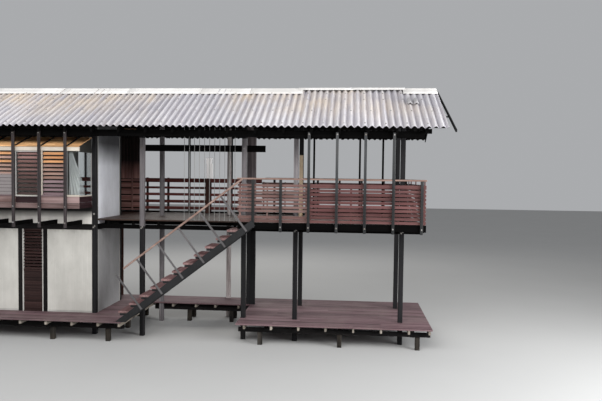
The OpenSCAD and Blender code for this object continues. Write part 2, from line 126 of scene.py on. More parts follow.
def boxb(s, x0, x1, y0, y1, z0, z1, c=0.003, wob=0.0, tone=None, axis=None, bow=(0.0, 0.0), twist=0.0):
    """An axis-aligned board given by its corners, its grain along its longest side."""
    dx, dy, dz = x1 - x0, y1 - y0, z1 - z0
    axis = axis or max((dx, "x"), (dy, "y"), (dz, "z"))[1]
    xm, ym, zm = (x0 + x1) / 2, (y0 + y1) / 2, (z0 + z1) / 2
    if axis == "x":
        bar(s, (x0, ym, zm), (x1, ym, zm), dy, dz, (0, 1, 0), c, None, wob, tone, 0.5, bow, twist)
    elif axis == "y":
        bar(s, (xm, y0, zm), (xm, y1, zm), dx, dz, (1, 0, 0), c, None, wob, tone, 0.5, bow, twist)
    else:
        bar(s, (xm, ym, z0), (xm, ym, z1), dx, dy, (1, 0, 0), c, None, wob, tone, 0.5, bow, twist)


def islands(node):
    """The separate solids of a CAD node, each as a bmesh with its flat faces joined."""
    bm = bmesh.new()
    bm.from_mesh(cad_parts[node].data)
    bmesh.ops.remove_doubles(bm, verts=bm.verts, dist=1e-5)
    bmesh.ops.dissolve_limit(bm, angle_limit=0.01, verts=bm.verts, edges=bm.edges)
    left, out = set(bm.verts), []
    while left:
        grp, todo = set(), [next(iter(left))]
        while todo:
            v = todo.pop()
            if v in grp:
                continue
            grp.add(v)
            todo.extend(e.other_vert(v) for e in v.link_edges)
        left -= grp
        out.append(sorted(grp, key=lambda v: v.index))
    res = []
    for grp in out:
        idx = {v: i for i, v in enumerate(grp)}
        fs = {f for v in grp for f in v.link_faces}
        fs = sorted(fs, key=lambda f: tuple(sorted(idx[v] for v in f.verts)))
        res.append(([v.co.copy() for v in grp], [[idx[v] for v in f.verts] for f in fs]))
    bm.free()
    res.sort(key=lambda r: tuple(round(sum(p[k] for p in r[0]) / len(r[0]), 4) for k in range(3)))
    return res


def box_axes(co):
    """Centre, three unit axes and half sizes of a box given by its eight corners, or None."""
    if len(co) != 8:
        return None
    o = co[0]
    d = sorted((p - o for p in co[1:]), key=lambda q: q.length)
    for i in range(7):
        for j in range(i + 1, 7):
            for k in range(j + 1, 7):
                a, b, c = d[i], d[j], d[k]
                if abs(a.dot(b)) < 1e-4 * a.length * b.length + 1e-9 and abs(a.dot(c)) < 1e-4 * a.length * c.length + 1e-9 and abs(b.dot(c)) < 1e-4 * b.length * c.length + 1e-9:
                    if any((p - o - a - b - c).length < 1e-4 for p in co):
                        return o + (a + b + c) / 2, [a.normalized(), b.normalized(), c.normalized()], [a.length, b.length, c.length]
    return None


def from_cad(node, name, mat, slot, c=0.004, wob=0.0, pitch=0.6, skip=None, extra=None):
    """Rebuilds a node's solids as eased boards with grain along each one."""
    s = Soup(0.0)
    for co, fs in islands(node):
        ax = box_axes(co)
        if skip and skip(co):
            continue
        if ax:
            m, d, l = ax
            k = max(range(3), key=lambda i: l[i])
            i, j = [x for x in range(3) if x != k]
            dd = d[k] if d[k][max(range(3), key=lambda q: abs(d[k][q]))] > 0 else -d[k]
            bar(s, m - dd * l[k] / 2, m + dd * l[k] / 2, l[i], l[j], d[i], c, None, wob, None, pitch)
        else:
            add_bevelled(s, co, fs, c)
    if extra:
        extra(s)
    return s.make(name, mat, slot, node)


def add_bevelled(s, co, fs, c=0.004, tone=None):
    """A flat-faced solid with its edges eased, its grain along its longest extent."""
    bm = bmesh.new()
    vs = [bm.verts.new(p) for p in co]
    for f in fs:
        try:
            bm.faces.new([vs[i] for i in f])
        except ValueError:
            pass
    bm.normal_update()
    flat = set(bm.faces)
    edges = [e for e in bm.edges if len(e.link_faces) == 2 and e.calc_face_angle(0) > 0.3]
    if c > 0:
        bmesh.ops.bevel(bm, geom=edges, offset=c, offset_type="OFFSET", segments=1, profile=0.5, affect="EDGES", clamp_overlap=True)
    bm.verts.index_update()
    lo = [min(p[k] for p in co) for k in range(3)]
    hi = [max(p[k] for p in co) for k in range(3)]
    k = max(range(3), key=lambda q: hi[q] - lo[q])
    order = [k] + [q for q in range(3) if q != k]
    off = Vector((R.uniform(0, 20), R.uniform(0, 20), R.uniform(0, 20)))
    verts = [v.co.copy() for v in bm.verts]
    grain = [off + Vector([v[q] for q in order]) for v in verts]
    faces = [[v.index for v in f.verts] for f in bm.faces]
    wear = [0.0 if f.calc_area() > (c * 3) ** 2 * 4 else 1.0 for f in bm.faces]
    s.add(verts, faces, grain, R.random() if tone is None else tone, wear)
    bm.free()


def pole(s, x, y, z0, z1, r, n=20, step=0.12, rough=0.008, lean=0.0):
    """A round trunk with knots and an uneven outline."""
    m = max(3, int((z1 - z0) / step))
    verts, grain, ph = [], [], R.uniform(0, 90)
    for i in range(m + 1):
        z = z0 + (z1 - z0) * i / m
        cx = x + lean * noise.noise(Vector((ph, z * 0.6, 0)))
        cy = y + lean * noise.noise(Vector((ph, z * 0.6, 9)))
        for k in range(n):
            a = 2 * math.pi * k / n
            q = r - rough + rough * noise.noise(Vector((math.cos(a) * 1.3 + ph, math.sin(a) * 1.3, z * 2.2))) - 0.3 * rough * abs(noise.noise(Vector((math.cos(a) * 5, math.sin(a) * 5 + ph, z * 9))))
            verts.append((cx + q * math.cos(a), cy + q * math.sin(a), z))
            grain.append((z + ph, q * math.cos(a), q * math.sin(a)))
    faces = [tuple(reversed(range(n)))]
    for i in range(m):
        for k in range(n):
            j = (k + 1) % n
            faces.append((i * n + k, i * n + j, (i + 1) * n + j, (i + 1) * n + k))
    faces.append(tuple(range(m * n, (m + 1) * n)))
    s.add(verts, faces, grain, R.random(), 0.0, [False] + [True] * (m * n) + [False])


def lathe(s, p, d, prof, n=8, tone=0.5, wear=0.0, smooth=True):
    """A small turned part: prof is a list of (distance along d, radius)."""
    p, d = Vector(p), Vector(d).normalized()
    a = d.orthogonal().normalized()
    b = d.cross(a)
    verts = [p + d * u + (a * math.cos(2 * math.pi * k / n) + b * math.sin(2 * math.pi * k / n)) * r for u, r in prof for k in range(n)]
    m = len(prof)
    faces = [tuple(reversed(range(n)))]
    faces += [(i * n + k, i * n + (k + 1) % n, (i + 1) * n + (k + 1) % n, (i + 1) * n + k) for i in range(m - 1) for k in range(n)]
    faces.append(tuple(range((m - 1) * n, m * n)))
    s.add(verts, faces, [v * 1.0 for v in verts], tone, wear, [False] + [smooth] * ((m - 1) * n) + [False])


def bolt(s, p, d, r=0.011, tone=0.5):
    """A washer with a six-sided bolt head on it."""
    lathe(s, p, d, [(-0.002, r * 1.9), (0.002, r * 1.9), (0.0026, r * 1.8)], 12, tone, 0.0, False)
    q = Vector(p) + Vector(d).normalized() * 0.0026
    lathe(s, q, d, [(0.0, r), (r * 0.62, r), (r * 0.75, r * 0.8)], 6, tone, 0.3, False)


def screw(s, p, d, r=0.0042, tone=0.3):
    """A countersunk screw head lying just proud of a board."""
    lathe(s, p, d, [(-0.001, r), (0.0004, r), (0.0007, r * 0.75)], 6, tone, 0.0, False)


def planks(s, x0, x1, y0, y1, z0, z1, w, gap, holes=(), joints=(), c=0.002, odds=0.6, clear=0.003, wob=0.0):
    """A floor of boards running along X, butt-jointed over some of the joists and notched round the posts."""
    n = max(1, round((y1 - y0 + gap) / (w + gap)))
    bw = (y1 - y0 - gap * (n - 1)) / n
    last = None
    for i in range(n):
        a = y0 + i * (bw + gap)
        b = a + bw
        cuts = []
        if joints and R.random() < odds + (0.4 if (x1 - x0) > 3.5 else 0.0):
            pool = [j for j in joints if x0 + 0.7 < j < x1 - 0.7 and j != last]
            if pool:
                cuts = [R.choice(pool)]
                last = cuts[0]
        ends = [x0] + cuts + [x1]
        for u0, u1 in zip(ends, ends[1:]):
            tone = R.random()
            u0, u1 = u0 + (0.0015 if u0 != x0 else 0.0), u1 - (0.0015 if u1 != x1 else 0.0)
            todo = [(u0, u1, a, b)]
            for hx0, hx1, hy0, hy1 in holes:
                hx0, hx1, hy0, hy1 = hx0 - clear, hx1 + clear, hy0 - clear, hy1 + clear
                new = []
                for p0, p1, q0, q1 in todo:
                    if hx1 <= p0 or hx0 >= p1 or hy1 <= q0 or hy0 >= q1:
                        new.append((p0, p1, q0, q1))
                        continue
                    m0, m1 = max(p0, hx0), min(p1, hx1)
                    new += [(p0, m0, q0, q1), (m1, p1, q0, q1), (m0, m1, q0, min(q1, hy0)), (m0, m1, max(q0, hy1), q1)]
                todo = [t for t in new if t[1] - t[0] > 0.004 and t[3] - t[2] > 0.004]
            dz = R.uniform(-0.0009, 0.0009)
            for p0, p1, q0, q1 in todo:
                boxb(s, p0, p1, q0, q1, z0, z1 + dz, c, wob, tone, "x")


# ------------------------------------------------------------------ material helpers
class Mat:
    """A short way to wire a node material."""

    def __init__(self, name, rough=0.7):
        self.m = bpy.data.materials.new(name)
        self.m.use_nodes = True
        self.nt = self.m.node_tree
        self.nt.nodes.clear()
        self.out = self.nt.nodes.new("ShaderNodeOutputMaterial")
        self.p = self.nt.nodes.new("ShaderNodeBsdfPrincipled")
        self.nt.links.new(self.p.outputs[0], self.out.inputs[0])
        self.p.inputs["Roughness"].default_value = rough

    def link(self, a, b):
        self.nt.links.new(a, b)

    def put(self, sock, val):
        if isinstance(val, bpy.types.NodeSocket):
            self.nt.links.new(val, sock)
        else:
            sock.default_value = val

    def attr(self, name, out="Fac"):
        n = self.nt.nodes.new("ShaderNodeAttribute")
        n.attribute_name = name
        return n.outputs[out]

    def obj(self):
        return self.nt.nodes.new("ShaderNodeTexCoord").outputs["Object"]

    def vmul(self, v, k, add=(0, 0, 0)):
        n = self.nt.nodes.new("ShaderNodeVectorMath")
        n.operation = "MULTIPLY_ADD"
        self.put(n.inputs[0], v)
        n.inputs[1].default_value = k
        n.inputs[2].default_value = add
        return n.outputs[0]

    def noise(self, v, scale=1.0, detail=4.0, rough=0.55, dist=0.0):
        n = self.nt.nodes.new("ShaderNodeTexNoise")
        self.put(n.inputs["Vector"], v)
        n.inputs["Scale"].default_value = scale
        n.inputs["Detail"].default_value = detail
        n.inputs["Roughness"].default_value = rough
        n.inputs["Distortion"].default_value = dist
        return n.outputs["Fac"]

    def voro(self, v, scale=1.0, feature="F1"):
        n = self.nt.nodes.new("ShaderNodeTexVoronoi")
        n.feature = feature
        self.put(n.inputs["Vector"], v)
        n.inputs["Scale"].default_value = scale
        return n.outputs["Distance"]

    def rng(self, v, a, b, c=0.0, d=1.0):
        n = self.nt.nodes.new("ShaderNodeMapRange")
        self.put(n.inputs[0], v)
        n.inputs[1].default_value = a
        n.inputs[2].default_value = b
        n.inputs[3].default_value = c
        n.inputs[4].default_value = d
        return n.outputs[0]

    def math(self, op, a, b=0.0):
        n = self.nt.nodes.new("ShaderNodeMath")
        n.operation = op
        n.use_clamp = op in ("MULTIPLY", "ADD") and False
        self.put(n.inputs[0], a)
        self.put(n.inputs[1], b)
        return n.outputs[0]

    def mix(self, f, a, b, mode="MIX"):
        n = self.nt.nodes.new("ShaderNodeMix")
        n.data_type = "RGBA"
        n.blend_type = mode
        self.put(n.inputs[0], f)
        for sock, val in ((n.inputs[6], a), (n.inputs[7], b)):
            if isinstance(val, bpy.types.NodeSocket):
                self.link(val, sock)
            else:
                sock.default_value = (*val[:3], 1.0)
        return n.outputs[2]

    def fade(self, c, zf):
        """Painted light and shade that change with height above the ground: zf is (z0, z1, factor at z0, factor at z1).
        """
        z = self.sep(self.obj())[2]
        mul = self.nt.nodes.new("ShaderNodeVectorMath")
        mul.operation = "SCALE"
        self.link(c, mul.inputs[0])
        self.link(self.rng(z, *zf), mul.inputs["Scale"])
        return mul.outputs[0]

    def sep(self, v):
        n = self.nt.nodes.new("ShaderNodeSeparateXYZ")
        self.put(n.inputs[0], v)
        return n.outputs

    def bump(self, h, strength=0.3, dist=0.002):
        n = self.nt.nodes.new("ShaderNodeBump")
        n.inputs["Strength"].default_value = strength
        n.inputs["Distance"].default_value = dist
        self.put(n.inputs["Height"], h)
        self.link(n.outputs[0], self.p.inputs["Normal"])

    def done(self, col, rough=None):
        self.put(self.p.inputs["Base Color"], col)
        if rough is not None:
            self.put(self.p.inputs["Roughness"], rough)
        return self.m


def wood(name, dark, base, light, grain=34.0, tone=0.5, wear=None, wearf=0.6, rough=(0.5, 0.75), bump=0.25, dirt=None, dirtf=0.5, spec=0.35, painted_shading_z=None):
    """Timber with fibres along the board, broad bands, a tone for each board, worn edges and patches of dirt;
    painted_shading_z adds painted light and shade by height.
    """
    m = Mat(name)
    g = m.attr("grain", "Vector")
    fib = m.noise(m.vmul(g, (1.6, grain * 2.2, grain * 2.2)), 1.0, 5.0, 0.62)
    band = m.noise(m.vmul(g, (0.35, grain * 0.35, grain * 0.35), (3, 1, 7)), 1.0, 3.0, 0.5, 0.6)
    patch = m.noise(m.vmul(m.obj(), (1.0, 1.0, 1.6)), 1.7, 4.0, 0.6)
    t = m.attr("tone")
    c = m.mix(m.rng(fib, 0.30, 0.66), dark, base)
    c = m.mix(m.math("MULTIPLY", m.rng(band, 0.42, 0.70), 0.8), c, light)
    shade = m.rng(t, 0.0, 1.0, 1.0 - tone * 0.6, 1.0 + tone * 0.55)
    mul = m.nt.nodes.new("ShaderNodeVectorMath")
    mul.operation = "SCALE"
    m.link(c, mul.inputs[0])
    m.link(shade, mul.inputs["Scale"])
    c = mul.outputs[0]
    if dirt is not None:
        c = m.mix(m.math("MULTIPLY", m.rng(patch, 0.46, 0.72), dirtf), c, dirt)
    if wear is not None:
        w = m.math("MULTIPLY", m.attr("wear"), m.rng(m.noise(m.vmul(g, (5.0, 30.0, 30.0)), 1.0, 3.0), 0.35, 0.6, 0.15, wearf))
        c = m.mix(w, c, wear)
    # painted light and shade by height above the ground, when painted_shading_z is given
    if painted_shading_z is not None:
        c = m.fade(c, painted_shading_z)
    m.bump(fib, bump, 0.0016)
    m.p.inputs["Specular IOR Level"].default_value = spec
    return m.done(c, m.rng(fib, 0.3, 0.7, rough[1], rough[0]))


# linear colours
DARK = wood("dark_timber", (0.00245, 0.00231, 0.00252), (0.00595, 0.00546, 0.0056), (0.0126, 0.01085, 0.0105), tone=0.5, wear=(0.0315, 0.0266, 0.0238), wearf=0.35, rough=(0.7, 0.92), dirt=(0.014, 0.0126, 0.0119), dirtf=0.3, spec=0.12)
# black timber, darker than black paint would be: partly its own black stain, partly painted shade on the undersides and
# eaves it is used for
BLACK = wood("black_timber", (0.00033, 0.0003025, 0.00033), (0.000935, 0.0008525, 0.00088), (0.002063, 0.001815, 0.001788), tone=0.5, wear=(0.00605, 0.005225, 0.004675), wearf=0.3, rough=(0.8, 0.95), dirt=(0.0022, 0.001925, 0.00187), dirtf=0.3, spec=0.05)
DPOST = wood("dark_post", (0.00324, 0.00324, 0.003762), (0.007128, 0.006966, 0.008037), (0.01426, 0.01361, 0.01505), tone=0.45, wear=(0.0243, 0.02268, 0.02257), wearf=0.4, rough=(0.6, 0.88), dirt=(0.01296, 0.01166, 0.01129), dirtf=0.4, spec=0.18)
LPOST = wood("weathered_post", (0.0714, 0.06552, 0.07056), (0.1469, 0.1344, 0.1411), (0.2268, 0.21, 0.2143), tone=0.35, wear=(0.252, 0.2352, 0.2268), wearf=0.4, rough=(0.6, 0.85), dirt=(0.084, 0.07392, 0.07224), dirtf=0.5, spec=0.2)
# grey post timber, at a third of its colour below 3.35 m and full colour by 4.25 m: painted shade on the lower parts of
# the posts
GREY = wood("grey_post", (0.01871, 0.02037, 0.02202), (0.03742, 0.04018, 0.04293), (0.0633, 0.06605, 0.06715), tone=0.4, wear=(0.1046, 0.1018, 0.09632), wearf=0.55, rough=(0.55, 0.8), dirt=(0.04678, 0.04128, 0.03963), dirtf=0.45, spec=0.22, painted_shading_z=(3.35, 4.25, 0.34, 1.0))
WPOST = wood("wing_post", (0.010, 0.008, 0.0085), (0.024, 0.0195, 0.0205), (0.052, 0.044, 0.046), tone=0.45, wear=(0.13, 0.115, 0.11), wearf=0.45, rough=(0.55, 0.8), dirt=(0.040, 0.032, 0.031), dirtf=0.4, spec=0.15)
MPOST = wood("broad_post", (0.036, 0.029, 0.03), (0.084, 0.068, 0.072), (0.16, 0.136, 0.14), tone=0.4, wear=(0.24, 0.22, 0.21), wearf=0.4, rough=(0.6, 0.85), dirt=(0.12, 0.104, 0.1), dirtf=0.4, spec=0.15)
# the wing's ceiling lining: a darker copy of the orange lining boards: painted shade
CEIL = wood("ceiling_board", (0.075, 0.040, 0.020), (0.14, 0.082, 0.044), (0.20, 0.13, 0.075), grain=22.0, tone=0.35, rough=(0.5, 0.7), dirt=(0.09, 0.055, 0.035), dirtf=0.3, spec=0.2)
STUMP = wood("stump_timber", (0.008, 0.0075, 0.007), (0.020, 0.018, 0.016), (0.045, 0.040, 0.035), tone=0.5, rough=(0.8, 0.95), dirt=(0.06, 0.048, 0.036), dirtf=0.6, spec=0.12)
PALE = wood("pale_joist", (0.12, 0.10, 0.08), (0.24, 0.21, 0.175), (0.38, 0.345, 0.30), tone=0.5, rough=(0.7, 0.9), dirt=(0.07, 0.055, 0.045), dirtf=0.6, spec=0.15)
BARK = wood("bark_pole", (0.2059, 0.1742, 0.1663), (0.5069, 0.4514, 0.4435), (0.792, 0.7286, 0.7128), grain=10.0, tone=0.2, rough=(0.8, 0.97), bump=0.6, dirt=(0.2059, 0.1584, 0.1426), dirtf=0.5, spec=0.12)
DECK = wood("deck_board", (0.05995, 0.03317, 0.0375), (0.1221, 0.07218, 0.08092), (0.1908, 0.1249, 0.1342), grain=26.0, tone=0.42, wear=(0.2616, 0.1853, 0.1875), wearf=0.6, rough=(0.55, 0.8), dirt=(0.1744, 0.1318, 0.1263), dirtf=0.45, spec=0.22)
FLOOR = wood("floor_board", (0.015, 0.008, 0.0055), (0.0375, 0.019, 0.0135), (0.065, 0.036, 0.026), tone=0.5, rough=(0.45, 0.65), dirt=(0.02, 0.015, 0.0125), dirtf=0.3, spec=0.3)
SLATL = wood("slat_timber_open", (0.08091, 0.0391, 0.03409), (0.1476, 0.08344, 0.07638), (0.2094, 0.1359, 0.125), grain=30.0, tone=0.5, wear=(0.238, 0.1716, 0.1454), wearf=0.5, rough=(0.55, 0.8), dirt=(0.1618, 0.1049, 0.08635), dirtf=0.45, spec=0.2)
SLAT = wood("slat_timber", (0.04748, 0.01411, 0.01352), (0.09273, 0.03486, 0.03446), (0.1447, 0.06639, 0.06544), grain=30.0, tone=0.5, wear=(0.1628, 0.08713, 0.07852), wearf=0.5, rough=(0.5, 0.76), dirt=(0.1266, 0.06224, 0.05235), dirtf=0.4, spec=0.22)
RAIL = wood("rail_timber", (0.1248, 0.0759, 0.0616), (0.2262, 0.1485, 0.1225), (0.3354, 0.2376, 0.203), tone=0.3, wear=(0.3744, 0.2706, 0.238), wearf=0.7, rough=(0.5, 0.75), dirt=(0.1872, 0.1221, 0.105), dirtf=0.5, spec=0.2)
GRAIL = wood("gallery_rail", (0.05269, 0.01197, 0.01006), (0.123, 0.02992, 0.0257), (0.2225, 0.06283, 0.05475), tone=0.5, wear=(0.2576, 0.08979, 0.07818), wearf=0.5, rough=(0.55, 0.8), dirt=(0.1054, 0.02992, 0.02514), dirtf=0.5, spec=0.2)
REDB = wood("red_board", (0.024, 0.009, 0.007), (0.062, 0.026, 0.020), (0.115, 0.056, 0.045), grain=24.0, tone=0.6, wear=(0.13, 0.08, 0.07), wearf=0.4, rough=(0.55, 0.8), dirt=(0.045, 0.026, 0.022), dirtf=0.4, spec=0.2)
# the bay's outer louvre blades share three materials graded by height, orange near the top and browner lower down:
# painted light on the upper blades, painted shade on the lower ones
LOUVT = wood("louvre_timber_top", (0.2805, 0.1205, 0.051), (0.561, 0.2696, 0.1224), (0.765, 0.4246, 0.204), tone=0.35, wear=(0.7395, 0.459, 0.2754), wearf=0.5, rough=(0.45, 0.7), dirt=(0.3825, 0.1951, 0.102), dirtf=0.4, spec=0.25)
LOUVM = wood("louvre_timber_mid", (0.1521, 0.07722, 0.0599), (0.3159, 0.193, 0.156), (0.4914, 0.3393, 0.2808), tone=0.4, wear=(0.5148, 0.3744, 0.3245), wearf=0.5, rough=(0.45, 0.7), dirt=(0.234, 0.1521, 0.1373), dirtf=0.4, spec=0.25)
LOUVB = wood("louvre_timber_low", (0.1012, 0.0638, 0.0713), (0.1963, 0.132, 0.1449), (0.3094, 0.2255, 0.2415), tone=0.4, wear=(0.357, 0.264, 0.276), wearf=0.5, rough=(0.5, 0.75), dirt=(0.1428, 0.099, 0.1035), dirtf=0.4, spec=0.22)
# a shaded copy of the louvre timber for the blades behind the sash glass, darker low down and brighter towards 4.24 m:
# painted shade below, painted light above
LOUVS = wood("louvre_timber_shade", (0.08525, 0.035, 0.0312), (0.1938, 0.09375, 0.0884), (0.31, 0.1688, 0.1625), tone=0.5, wear=(0.341, 0.2, 0.195), wearf=0.5, rough=(0.5, 0.75), dirt=(0.1395, 0.0725, 0.0702), dirtf=0.4, spec=0.2, painted_shading_z=(3.45, 4.24, 0.55, 1.75))
# the gallery boards' front face, near black above 4.15 m: painted shade under the roof
GSCR = wood("gallery_board", (0.1125, 0.045, 0.0375), (0.2625, 0.123, 0.108), (0.45, 0.2475, 0.225), grain=24.0, tone=0.45, wear=(0.45, 0.285, 0.255), wearf=0.4, rough=(0.55, 0.8), dirt=(0.15, 0.0825, 0.072), dirtf=0.4, spec=0.2, painted_shading_z=(3.70, 4.15, 1.0, 0.03))
GSCRB = wood("gallery_board_back", (0.0675, 0.027, 0.0225), (0.1575, 0.0738, 0.0648), (0.27, 0.1485, 0.135), grain=24.0, tone=0.45, wear=(0.27, 0.171, 0.153), wearf=0.4, rough=(0.55, 0.8), dirt=(0.09, 0.0495, 0.0432), dirtf=0.4, spec=0.2)
LOWL = wood("lower_louvre", (0.00969, 0.003283, 0.002736), (0.02261, 0.009302, 0.008482), (0.04845, 0.02408, 0.02189), tone=0.5, wear=(0.07752, 0.04651, 0.04104), wearf=0.6, rough=(0.5, 0.75), dirt=(0.02261, 0.01094, 0.00985), dirtf=0.4, spec=0.22)
BAYB = wood("bay_board", (0.0656, 0.03634, 0.0324), (0.1599, 0.1011, 0.09558), (0.3034, 0.2173, 0.2106), grain=20.0, tone=0.45, wear=(0.3444, 0.2607, 0.2511), wearf=0.55, rough=(0.5, 0.75), dirt=(0.082, 0.04582, 0.0405), dirtf=0.5, spec=0.22)
MAROON = wood("bay_return", (0.0072, 0.00264, 0.0031), (0.01944, 0.006875, 0.00868), (0.0432, 0.0187, 0.02232), grain=24.0, tone=0.45, wear=(0.0648, 0.033, 0.0372), wearf=0.4, rough=(0.5, 0.75), spec=0.2)
# the bay roof boards: far brighter than the ceiling copy of the same lining: partly their own orange, partly painted
# warm light
LINE = wood("lining_board", (0.4004, 0.1981, 0.08222), (0.728, 0.4048, 0.1869), (0.95, 0.6028, 0.299), grain=22.0, tone=0.35, rough=(0.5, 0.7), dirt=(0.4732, 0.2584, 0.1346), dirtf=0.3, spec=0.25)
TREAD = wood("tread_timber", (0.075, 0.030, 0.030), (0.160, 0.078, 0.078), (0.26, 0.155, 0.155), tone=0.4, wear=(0.32, 0.22, 0.21), wearf=0.7, rough=(0.55, 0.8), dirt=(0.13, 0.085, 0.080), dirtf=0.4, spec=0.2)
TAN = wood("new_post_timber", (0.276, 0.184, 0.1104), (0.4416, 0.322, 0.2116), (0.5704, 0.46, 0.3312), grain=26.0, tone=0.3, rough=(0.55, 0.8), dirt=(0.3036, 0.2116, 0.138), dirtf=0.4, spec=0.2)


def painted(name, base, dark, light, streak=0.5, rough=(0.55, 0.8), bump=0.12, specks=None, wet=None, spec=0.3, painted_shading_z=None):
    """Painted sheet: broad stains, rain streaks running down it, splashes at its foot and fine unevenness;
    painted_shading_z adds painted light and shade by height.
    """
    m = Mat(name)
    o = m.obj()
    st = m.noise(m.vmul(o, (9.0, 9.0, 0.35)), 1.0, 4.0, 0.6)
    st2 = m.noise(m.vmul(o, (38.0, 38.0, 0.9), (3, 5, 1)), 1.0, 3.0, 0.6)
    blot = m.noise(m.vmul(o, (1.3, 1.3, 0.8)), 1.0, 5.0, 0.6)
    fine = m.noise(m.vmul(o, (60.0, 60.0, 60.0)), 1.0, 3.0, 0.6)
    c = m.mix(m.rng(blot, 0.35, 0.68), dark, base)
    c = m.mix(m.math("MULTIPLY", m.rng(st, 0.50, 0.78), streak), c, dark)
    c = m.mix(m.math("MULTIPLY", m.rng(st2, 0.55, 0.75), streak * 0.45), c, light)
    if specks is not None:
        c = m.mix(m.math("MULTIPLY", m.rng(m.noise(m.vmul(o, (14, 14, 14)), 1.0, 6.0, 0.75), 0.62, 0.70), 0.6), c, specks)
    if wet is not None:
        c = m.mix(m.math("MULTIPLY", m.rng(m.math("ADD", m.attr("tone"), m.rng(st, 0.3, 0.7, -0.25, 0.25)), 0.55, 1.0), 0.75), c, wet)
    c = m.mix(m.math("MULTIPLY", m.attr("wear"), 0.35), c, dark)
    # painted light and shade by height above the ground, when painted_shading_z is given
    if painted_shading_z is not None:
        c = m.fade(c, painted_shading_z)
    m.bump(m.math("ADD", m.math("MULTIPLY", fine, 0.5), st), bump, 0.002)
    m.p.inputs["Specular IOR Level"].default_value = spec
    return m.done(c, m.rng(fine, 0.3, 0.7, rough[0], rough[1]))


WALL = painted("wall_sheet", (0.5576, 0.5449, 0.5069), (0.4224, 0.4097, 0.3802), (0.642, 0.6294, 0.5998), 0.5, specks=(0.3379, 0.321, 0.2872), wet=(0.2534, 0.2408, 0.2196), rough=(0.65, 0.88))
# the upper right side wall: a brighter, bluer copy of the wall paint, darkened towards the eave: painted light on its
# lower part, painted shade at its top
SIDEW = painted("side_wall_sheet", (0.7623, 0.7686, 0.8159), (0.5527, 0.5546, 0.5814), (0.95, 0.95, 0.95), 0.5, specks=(0.4574, 0.4573, 0.4589), wet=(0.3049, 0.3016, 0.306), rough=(0.65, 0.88), painted_shading_z=(3.95, 4.50, 1.0, 0.14))
# a darker copy of the wall paint for the lower side walls: painted shade
SIDEL = painted("lower_side_sheet", (0.3344, 0.3302, 0.3344), (0.2424, 0.2383, 0.2383), (0.418, 0.4138, 0.418), 0.5, specks=(0.2006, 0.1965, 0.1881), wet=(0.1338, 0.1296, 0.1254), rough=(0.65, 0.88))
# a darker copy of the wall paint, near black above 2.90 m and brighter towards its foot: painted shadow of the bay and
# painted shade under the eave
SILLP = painted("sill_panel", (0.2104, 0.204, 0.1913), (0.153, 0.1466, 0.137), (0.255, 0.2486, 0.2359), 0.5, specks=(0.1275, 0.1211, 0.1084), wet=(0.09563, 0.08925, 0.08288), rough=(0.65, 0.88), painted_shading_z=(2.73, 2.90, 3.7, 0.03))
LUMP = painted("sheet_offcut", (0.46, 0.45, 0.46), (0.30, 0.29, 0.30), (0.58, 0.57, 0.58), 0.4, specks=(0.20, 0.19, 0.19), rough=(0.7, 0.9))
BEAD = painted("cover_bead", (0.46, 0.45, 0.425), (0.30, 0.29, 0.27), (0.60, 0.59, 0.56), 0.5, rough=(0.6, 0.85))
FRAMEM = painted("window_metal", (0.5859, 0.5306, 0.4633), (0.4185, 0.3726, 0.3168), (0.6696, 0.6237, 0.5623), 0.35, rough=(0.4, 0.6))
# a darker copy of the frame metal for the stiles in the sash bays: painted shade
FRAMED = painted("dim_frame", (0.20, 0.20, 0.20), (0.12, 0.12, 0.12), (0.28, 0.28, 0.28), 0.4, rough=(0.45, 0.65))
DHEAD = painted("dark_head", (0.024, 0.023, 0.020), (0.014, 0.0135, 0.012), (0.045, 0.043, 0.038), 0.4, rough=(0.5, 0.7))
SASH = painted("sash_metal", (0.40, 0.385, 0.37), (0.26, 0.25, 0.24), (0.56, 0.54, 0.52), 0.35, rough=(0.35, 0.55))
BLIND = painted("pale_panel", (0.2232, 0.2015, 0.2015), (0.1674, 0.1457, 0.1457), (0.2728, 0.2542, 0.2542), 0.3, rough=(0.6, 0.8))
STEEL = painted("stair_steel", (0.01569, 0.01603, 0.01739), (0.008184, 0.008184, 0.008866), (0.02899, 0.02933, 0.03069), 0.6, rough=(0.55, 0.8), specks=(0.02558, 0.01705, 0.01296), spec=0.25)
BARS = painted("rail_bar", (0.1062, 0.1003, 0.102), (0.0595, 0.0561, 0.0578), (0.17, 0.1615, 0.1658), 0.5, rough=(0.5, 0.75), specks=(0.136, 0.0765, 0.0595), spec=0.25)
ROD = painted("rod_steel", (0.30, 0.30, 0.29), (0.17, 0.17, 0.165), (0.42, 0.42, 0.41), 0.4, rough=(0.35, 0.5))
STRIP = painted("strip_metal", (0.008, 0.0075, 0.008), (0.004, 0.004, 0.004), (0.02, 0.02, 0.02), 0.4, rough=(0.5, 0.7), spec=0.15)
ZINC = painted("fixing_zinc", (0.30, 0.30, 0.30), (0.14, 0.12, 0.10), (0.48, 0.48, 0.48), 0.6, rough=(0.35, 0.6), specks=(0.20, 0.11, 0.06))
DSCREW = painted("dark_screw", (0.035, 0.030, 0.028), (0.015, 0.012, 0.011), (0.07, 0.062, 0.058), 0.5, rough=(0.4, 0.6))



